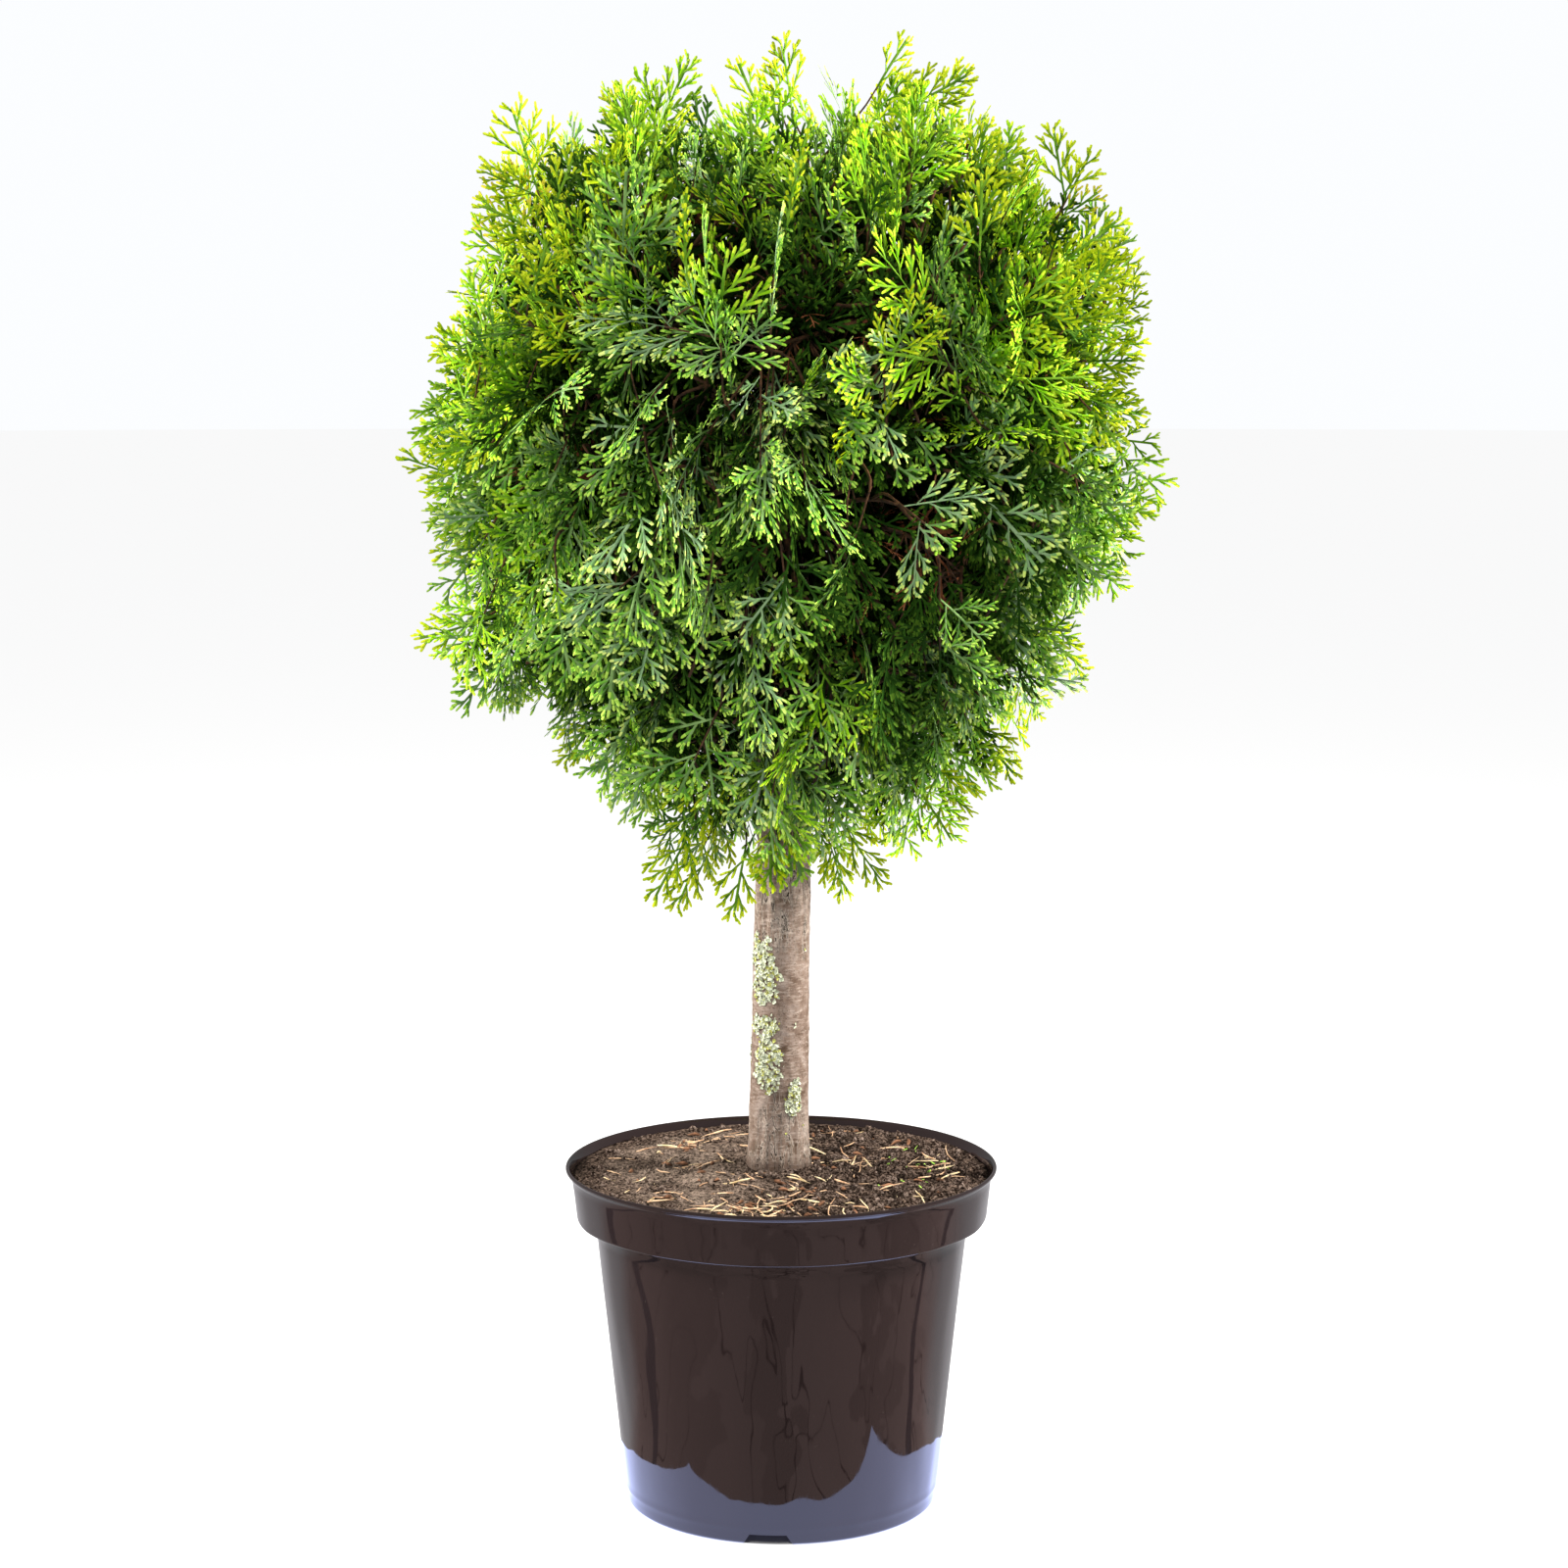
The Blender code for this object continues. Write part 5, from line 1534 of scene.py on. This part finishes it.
def plan_sprays(kinds, lengths, draw, hollows):
    """Every single spray, as (layer, kind, root, heading, face, size, light)."""
    sprays = []
    for number, (layer, count, depth) in enumerate(LAYERS):
        for direction in spiral(count, 1.7 + number * 1.7):
            aside = shaken(draw, 0.035)
            direction = (direction + aside).normalized()
            lump = crown_lump(direction)
            reach = crown_radius(direction) * depth - 0.034 * (1 - lump) + draw.gauss(0, 0.007)
            tip = HEART + direction * reach
            if in_hollow(tip, hollows):
                continue
            heading, facing = growth(tip, direction, draw)
            heading = inward_of_skin(tip, heading, direction, 0.070)
            facing = squared(facing, heading)
            deep = layer != "middle"
            kind = draw.choice(kinds["inner"]) if deep else pick_kind(kinds, tip.z, draw)
            size = draw.uniform(*SINGLE_SIZES)
            # Single sprays lie deeper than the outer branches, so their painted light is darker
            light = lightness(tip, direction, lump, draw, 0.16) - 0.22
            root = clear_of_trunk(tip - heading * lengths[kind] * size)
            sprays.append((layer, kind, root, heading, facing, size, light))
    for azimuth, height, _ in HOLLOWS:
        for _ in range(DRY_SPRAYS):
            direction = polar(math.radians(azimuth + draw.uniform(-9, 9)), WAIST_RADIUS, height - HEART.z)
            direction = (direction + Vector((0, 0, draw.uniform(-0.03, 0.03)))).normalized()
            root = HEART + direction * crown_radius(direction) * draw.uniform(*DRY_DEPTHS)
            heading = (direction + shaken(draw, 0.7)).normalized()
            facing = squared(Vector((0, 0, 1)), heading)
            size = draw.uniform(*DRY_SIZES)
            sprays.append(
                ("dry", kinds["dry"][0], clear_of_trunk(root), heading, facing, size, 0.0))
    for azimuth, height, distance, lean, rise in SHOOTS:
        out = polar(math.radians(azimuth), 1, 0)
        tip = polar(math.radians(azimuth), distance, height)
        heading = (out * 0.55 + out.cross(Vector((0, 0, 1))) * -lean + Vector((0, 0, rise))).normalized()
        facing = squared(Vector((0.0, -1.0, 0.0)), heading)
        facing.rotate(Matrix.Rotation(draw.uniform(-0.6, 0.6), 3, heading))
        kind = kinds["whip"][0] if rise > WHIP_RISE else draw.choice(kinds["upright"])
        size = draw.uniform(*SHOOT_SIZES)
        root = clear_of_trunk(tip - heading * lengths[kind] * size)
        sprays.append(("outer", kind, root, heading, facing, size, 1.0))
    return sprays


def point_mesh(name, spots):
    """A mesh of loose points that carry the kind, turn and size of what is planted there."""
    mesh = bpy.data.meshes.new(name)
    mesh.from_pydata([tuple(spot[0]) for spot in spots], [], [])
    kinds = mesh.attributes.new("kind", "INT", "POINT")
    kinds.data.foreach_set("value", [spot[1] for spot in spots])
    turns = mesh.attributes.new("turn", "FLOAT_VECTOR", "POINT")
    turns.data.foreach_set("vector", [value for spot in spots for value in spot[2]])
    write_shares(mesh, "size", [spot[3] for spot in spots])
    return mesh


def dealt(label, groups, pieces, finishes, tree, nodes, costs):
    """Plants the groups of sprays, each in its own tint, in pieces of a limited size."""
    for tint, spots in groups.items():
        batches, total = [[]], 0
        for spot in spots:
            cost = costs[spot[1]]
            if total + cost > MOST_TRIANGLES:
                batches.append([])
                total = 0
            batches[-1].append(spot)
            total += cost
        for number, batch in enumerate(batches):
            name = f"{label}_{tint}" + (f"_{number + 1}" if len(batches) > 1 else "")
            made = grown(
                name, point_mesh(name, batch), tree, Pieces=pieces, Finish=finishes[tint])
            finish_piece(made, "leaves_upper", *nodes)


def triangle_costs(pieces):
    """How many triangles each small shape has, in the order in which they are dealt."""
    return [
        sum(len(face.vertices) - 2 for face in obj.data.polygons)
        for obj in sorted(pieces.objects, key=lambda obj: obj.name)]


def spray_tints(layer, light, high, draw):
    """The tints of a spray's axes, fingers and tips: dry and a few inner sprays are dead, the inner and
    heart layers get a painted deep shade, most of the middle layer and the darkest sprays a painted dim
    shade, and the rest go by their lightness.
    """
    if layer == "dry" or layer == "inner" and draw.random() < DEAD_SHARE:
        return "dead", "dead", "dead"
    if layer in ("inner", "heart"):
        return "shaded", "shaded", "shaded_tip"
    if layer == "middle" and draw.random() < MIDDLE_DIM_SHARE or light < DIM_BELOW:
        return "dim", "dim", "dim_tip"
    body = "sunlit" if light > SUNLIT_ABOVE else "fresh" if light > FRESH_ABOVE else "deep"
    body = "bluish" if light < BLUISH_BELOW and draw.random() < BLUISH_SHARE else body
    # The axes follow the body's tint and so its painted light: sunlit and fresh sprays take young axes,
    # deep ones old axes, glaucous ones grey axes
    axis = {"sunlit": "young_axis", "fresh": "young_axis", "deep": "old_axis"}.get(body, "grey_axis")
    amber = body == "sunlit" and high and draw.random() < AMBER_SHARE
    return axis, body, "amber_tip" if amber else body + "_tip"


def make_crown(masses, materials):
    """Twigs, links and sprays, each joined apart and dealt out in plain tints."""
    draw = random.Random(SEED + 5)
    nodes = [name for name in frame["nodes"] if name.startswith("foliage_")]
    libraries, lengths = spray_library()
    kinds = {
        name: [i for i, (kind, _) in enumerate(SPRAY_KINDS) if kind == name] for name in SPRAY_SHAPES}
    tubes, points = grow_twigs(masses, draw)
    tree_of_points = kdtree.KDTree(len(points))
    for i, point in enumerate(points):
        tree_of_points.insert(point, i)
    tree_of_points.balance()
    mains = len(tubes)

    def linked(spot, heading, thick):
        """Grows a twig to a spot from the best twig or stem near it."""
        nearest = min(
            tree_of_points.find_n(spot, 8),
            key=lambda found: found[2] + 0.05 * (1 - heading.dot((spot - found[0]).normalized())))
        outward = (spot - nearest[0]).normalized()
        path = bent_path(nearest[0], outward, spot + heading * 0.004, heading, 4)
        path = [clear_of_trunk(point) for point in path]
        tubes.append(tube(path, [thick - 0.0001 * i for i in range(5)], 3))

    sprays = []
    hollows = hollow_places()
    for foot, end, heading, borne in plan_branches(kinds, lengths, draw, hollows):
        linked(foot, heading, BRANCH_RADII[0])
        path = [foot.lerp(end + heading * 0.002, i / 4) for i in range(5)]
        low, high = BRANCH_RADII[1], BRANCH_RADII[0] - 0.0004
        tubes.append(tube(path, [high + (low - high) * i / 4 for i in range(5)], 4))
        sprays += borne
    singles = plan_sprays(kinds, lengths, draw, hollows)
    for layer, kind, root, heading, facing, size, light in singles:
        linked(root, heading, LINK_RADIUS)
    dealt_out = ({}, {}, {})
    for layer, kind, root, heading, facing, size, light in sprays + singles:
        across = heading.cross(facing)
        turn = Matrix((across, heading, facing)).transposed().to_euler()
        spot = (root, kind, tuple(turn), size)
        for groups, tint in zip(dealt_out, spray_tints(layer, light, root.z > AMBER_ABOVE, draw)):
            groups.setdefault(tint, []).append(spot)
    planted = planted_tree()
    for groups, pieces in zip(dealt_out, libraries):
        dealt(pieces.name, groups, pieces, materials, planted, nodes, triangle_costs(pieces))
        clear_library(pieces)
    finish_piece(joined("twigs", tubes[:mains], materials["twig"]), "bark", *nodes)
    finish_piece(joined("side_twigs", tubes[mains:], materials["twig"]), "bark", *nodes)


# Stage


# What the studio floor works out at each place, one step after the other: a name, a sum, its terms
FLOOR_SUMS = (
    ("right", "DIVIDE", "x", "away"),
    ("towards", "DIVIDE", "front", "away"),
    # Light that the camera sees, and none under the pot
    ("camera_glow", "MULTIPLY_ADD", "seen", 0.43, 0.42),
    ("beside_pot", "GREATER_THAN", "away", BODY_FOOT_RADIUS - BASE_CHAMFER),
    ("glow", "MULTIPLY", "camera_glow", "beside_pot"),
    # Painted reflection, seen only by glossy rays: a pale sheet under the pot, with a scalloped edge that
    # comes to two cusps
    ("swing", "MULTIPLY_ADD", "turn", 1.754, 1.489),
    ("wave_height", "SINE", "swing"),
    ("arch", "ABSOLUTE", "wave_height"),
    ("notch", "SUBTRACT", 1.0, "arch"),
    ("cusp", "POWER", "notch", 3.0),
    ("cusp_size", "MULTIPLY_ADD", "right", 0.030, 0.065),
    ("peak", "MULTIPLY", "cusp", "cusp_size"),
    ("ragged", "MULTIPLY_ADD", "wave", 0.030, 0.190),
    ("lopsided", "MULTIPLY_ADD", "right", 0.010, "ragged"),
    ("square", "MULTIPLY", "right", "right"),
    ("widened", "MULTIPLY_ADD", "square", 0.036, "lopsided"),
    ("reach", "ADD", "widened", "peak"),
    ("on_sheet", "GREATER_THAN", "reach", "away"),
    ("near", "LESS_THAN", "ray", 0.66),
    ("sheet", "MULTIPLY", "on_sheet", "near"),
    # Painted reflection of boards beyond, with crooked dark cracks
    ("boards", "MULTIPLY_ADD", "wave", 1.3, "turn"),
    ("counted", "MULTIPLY", "boards", 2.7),
    ("board", "FLOOR", "counted"),
    ("off_line", "SUBTRACT", "crooked", 0.5),
    ("from_line", "ABSOLUTE", "off_line"),
    ("gap", "LESS_THAN", "from_line", 0.004),
    # Painted reflection of bare grey ground far off and on both sides, and of a dark stripe in front of
    # each side
    ("distance", "MULTIPLY_ADD", "away", 0.8, -0.8),
    ("near_far", "MAXIMUM", "distance", 0.0),
    ("far", "MINIMUM", "near_far", 1.0),
    ("sideways", "MULTIPLY_ADD", "towards", -3.0, -0.1),
    ("not_front", "MAXIMUM", "sideways", 0.0),
    ("beside", "MINIMUM", "not_front", 1.0),
    ("either_side", "ABSOLUTE", "turn"),
    ("stripe_turn", "MULTIPLY_ADD", "away", 0.62, 1.19),
    ("off_stripe", "SUBTRACT", "either_side", "stripe_turn"),
    ("from_stripe", "ABSOLUTE", "off_stripe"),
    ("stripe", "LESS_THAN", "from_stripe", 0.035),
)


def studio_floor():
    """Matt pale floor with a painted glow, brighter to the camera and none under the pot. Glossy rays, as
    from the pot, see a painted reflection instead: a scalloped pale sheet with boards beyond.
    """
    made, tree, shader = surface("studio_floor", "#9a9a9a", 0.9, Specular_IOR_Level=0.2)
    rays = add_node(tree, "ShaderNodeLightPath").outputs
    place = add_node(tree, "ShaderNodeTexCoord").outputs["Object"]
    spot = add_node(tree, "ShaderNodeSeparateXYZ", Vector=place).outputs
    away = add_node(tree, "ShaderNodeVectorMath", {"operation": "LENGTH"}, i0=place)
    wave = add_node(tree, "ShaderNodeTexNoise", Vector=place, Scale=9.0, Detail=3.0)
    facing = add_node(tree, "ShaderNodeMath", TIMES, i0=spot["Y"], i1=-1.0)
    turn = add_node(tree, "ShaderNodeMath", {"operation": "ARCTAN2"}, i0=spot["X"], i1=facing)
    fanned = add_node(tree, "ShaderNodeCombineXYZ", X=turn, Y=away)
    crooked = add_node(tree, "ShaderNodeTexNoise", Vector=fanned, Scale=2.6, Detail=2.5, Distortion=0.4)
    known = {
        "x": spot["X"], "front": facing, "away": away,
        "turn": turn, "wave": wave,
        "crooked": crooked, "ray": rays["Ray Length"],
        "seen": rays["Is Camera Ray"],
    }
    for name, operation, *values in FLOOR_SUMS:
        given = {f"i{i}": known.get(value, value) for i, value in enumerate(values)}
        known[name] = add_node(tree, "ShaderNodeMath", {"operation": operation}, **given)
    # The floor's painted glow
    fill(tree, shader, Emission_Color=(1, 1, 1, 1), Emission_Strength=known["glow"])
    # The painted reflection that only glossy rays see: boards, cracks, grey ground, stripes and the pale
    # sheet
    tint = add_node(tree, "ShaderNodeTexWhiteNoise", {"noise_dimensions": "1D"}, W=known["board"])
    seen = add_node(
        tree, "ShaderNodeMix", COLOURS, i0=tint, i6=(0.50, 0.36, 0.34, 1), i7=(0.84, 0.60, 0.57, 1))
    for share, colour in (
        ("gap", (0.10, 0.08, 0.08, 1)), ("far", (0.50, 0.50, 0.51, 1)),
        ("beside", (0.66, 0.65, 0.68, 1)), ("stripe", (0.10, 0.10, 0.13, 1)),
        ("sheet", (2.1, 2.36, 3.8, 1)),
    ):
        seen = add_node(tree, "ShaderNodeMix", COLOURS, i0=known[share], i6=seen, i7=colour)
    painted_reflection = add_node(tree, "ShaderNodeEmission", Color=seen)
    both = add_node(tree, "ShaderNodeMixShader", i0=rays["Is Glossy Ray"], i1=shader, i2=painted_reflection)
    fill(tree, tree.nodes["Material Output"], Surface=both)
    return made


def make_stage():
    """The floor, the soft light all round, a lamp on each side and a dimmer one in front."""
    segments = 64
    radii = (0.2, 0.6, 1.5, 4.0, 12.0, 40.0)
    vertices = [(0, 0, 0)]
    for radius in radii:
        vertices += [tuple(polar(math.tau * i / segments, radius, 0)) for i in range(segments)]
    faces = disc_faces(len(radii), segments)
    mesh_piece("studio_floor", vertices, faces, studio_floor())
    world = bpy.data.worlds.new("soft_light")
    bpy.context.scene.world = world
    world.use_nodes = True
    sky = world.node_tree.nodes["Background"]
    shown = add_node(world.node_tree, "ShaderNodeLightPath").outputs["Is Camera Ray"]
    strength = add_node(world.node_tree, "ShaderNodeMapRange", Value=shown, To_Min=0.27, To_Max=1.0)
    fill(world.node_tree, sky, Color=(0.97, 0.985, 1.0, 1), Strength=strength)
    for name, place, aim, size, power, colour in (
        ("key_lamp", (-2.3, 0.0, 1.55), (0, 0, 0.90), 0.8, 178, (1.0, 0.98, 0.92)),
        ("rim_lamp", (2.10, -0.10, 2.05), (0, 0, 1.00), 0.8, 268, (1.0, 0.98, 0.92)),
        ("fill_lamp", (-0.6, -2.9, 2.6), (0, 0, 0.70), 0.6, 93, (1.0, 0.99, 0.96)),
    ):
        data = bpy.data.lights.new(name, "AREA")
        data.shape, data.size, data.energy, data.color = "DISK", size, power, colour
        lamp = bpy.data.objects.new(name, data)
        lamp.location = place
        lamp.rotation_euler = (Vector(aim) - Vector(place)).to_track_quat("-Z", "Y").to_euler()
        lamp.visible_glossy = False
        bpy.context.scene.collection.objects.link(lamp)
    data = bpy.data.cameras.new("camera")
    data.lens = CAMERA_LENS
    data.sensor_width = 36
    camera = bpy.data.objects.new("camera", data)
    camera.location = CAMERA_PLACE
    camera.rotation_euler = (math.pi / 2 - CAMERA_PITCH, 0, 0)
    bpy.context.scene.collection.objects.link(camera)
    bpy.context.scene.camera = camera
    bpy.context.scene.view_settings.view_transform = "Standard"


# Finishes of the scale leaves, by tint: a name, its darker and its lighter colour
LEAF_TINTS = {
    "young_axis": ("young_branchlets", "#466e18", "#668c28"),
    "old_axis": ("old_branchlets", "#4a6836", "#6c8852"),
    "grey_axis": ("glaucous_branchlets", "#567050", "#768e68"),
    "sunlit": ("sunlit_scale_leaves", "#7e9a0c", "#a2b61a"),
    "fresh": ("fresh_scale_leaves", "#588c0c", "#7eaa1c"),
    "deep": ("deep_scale_leaves", "#447424", "#669636"),
    "dim": ("dim_scale_leaves", "#152c0a", "#264412"),
    "shaded": ("shaded_scale_leaves", "#081304", "#101f07"),
    "bluish": ("glaucous_scale_leaves", "#5c824c", "#7ea068"),
    "dead": ("dead_scale_leaves", "#44261a", "#70432c"),
    "sunlit_tip": ("sunlit_growing_tips", "#9aac14", "#beca30"),
    "fresh_tip": ("fresh_growing_tips", "#82a61a", "#a8c234"),
    "deep_tip": ("deep_growing_tips", "#7aa630", "#a4c454"),
    "dim_tip": ("dim_growing_tips", "#304a12", "#44601c"),
    "shaded_tip": ("shaded_growing_tips", "#102006", "#182c0a"),
    "bluish_tip": ("glaucous_growing_tips", "#96b24c", "#bece74"),
    "amber_tip": ("amber_growing_tips", "#a09424", "#c2b43c"),
}


def make_materials():
    """Every finish, named for what it really is."""
    return {
        "plastic": black_plastic(),
        "bark": bark(),
        # Dark brown bark of young wood, which hardly shows between the sprays
        "twig": mottled("twig_bark", "#20140e", "#48301f", 6 * MM),
        # Near black peat with dry brown grains, greyer in its crumbs and clods, which dried out
        "soil": potting_soil("potting_soil", "#130c09", "#64544a"),
        "crumb": potting_soil("soil_crumb", "#160f0b", "#68584f"),
        "clod": potting_soil("soil_clod", "#2a1f1a", "#7c6c63"),
        # Pale tan threads, dull straw-yellow stalks and red-brown flakes that break up the dark soil
        "fibre": mottled("root_fibre", "#8e6a50", "#c6a98a", 8 * MM, roughness=0.7),
        "straw": mottled("dry_straw", "#9c8460", "#cebc9a", 8 * MM, roughness=0.6),
        "chip": mottled("bark_chip", "#3f2a1e", "#785540", 6 * MM, roughness=0.8),
        # The fresh light green of young leaves
        "seedling": mottled("seedling_leaf", "#6c9a34", "#a6c85e", 3 * MM, roughness=0.6),
        # Dry grey-green crusts, and the small yellower ones of a younger kind
        "lichen": mottled("shield_lichen", "#8a9078", "#d2d6c0", 3 * MM, roughness=0.9),
        "lichen_lobes": mottled("young_lichen", "#84863e", "#bcbc6c", 3 * MM, roughness=0.9),
        # Green scale leaves, from nearly black painted shade to yellow, partly painted sunlight and
        # partly young growth
        **{tint: scale_leaves(*look) for tint, look in LEAF_TINTS.items()},
    }


materials = make_materials()
make_pot(materials["plastic"])
ground = make_soil_ground(materials["soil"])
make_litter(ground, materials)
trunk = make_trunk(materials["bark"])
make_lichen(trunk, materials)
masses, boughs = plan_crown()
make_boughs(boughs, materials["bark"])
make_crown(masses, materials)
make_stage()
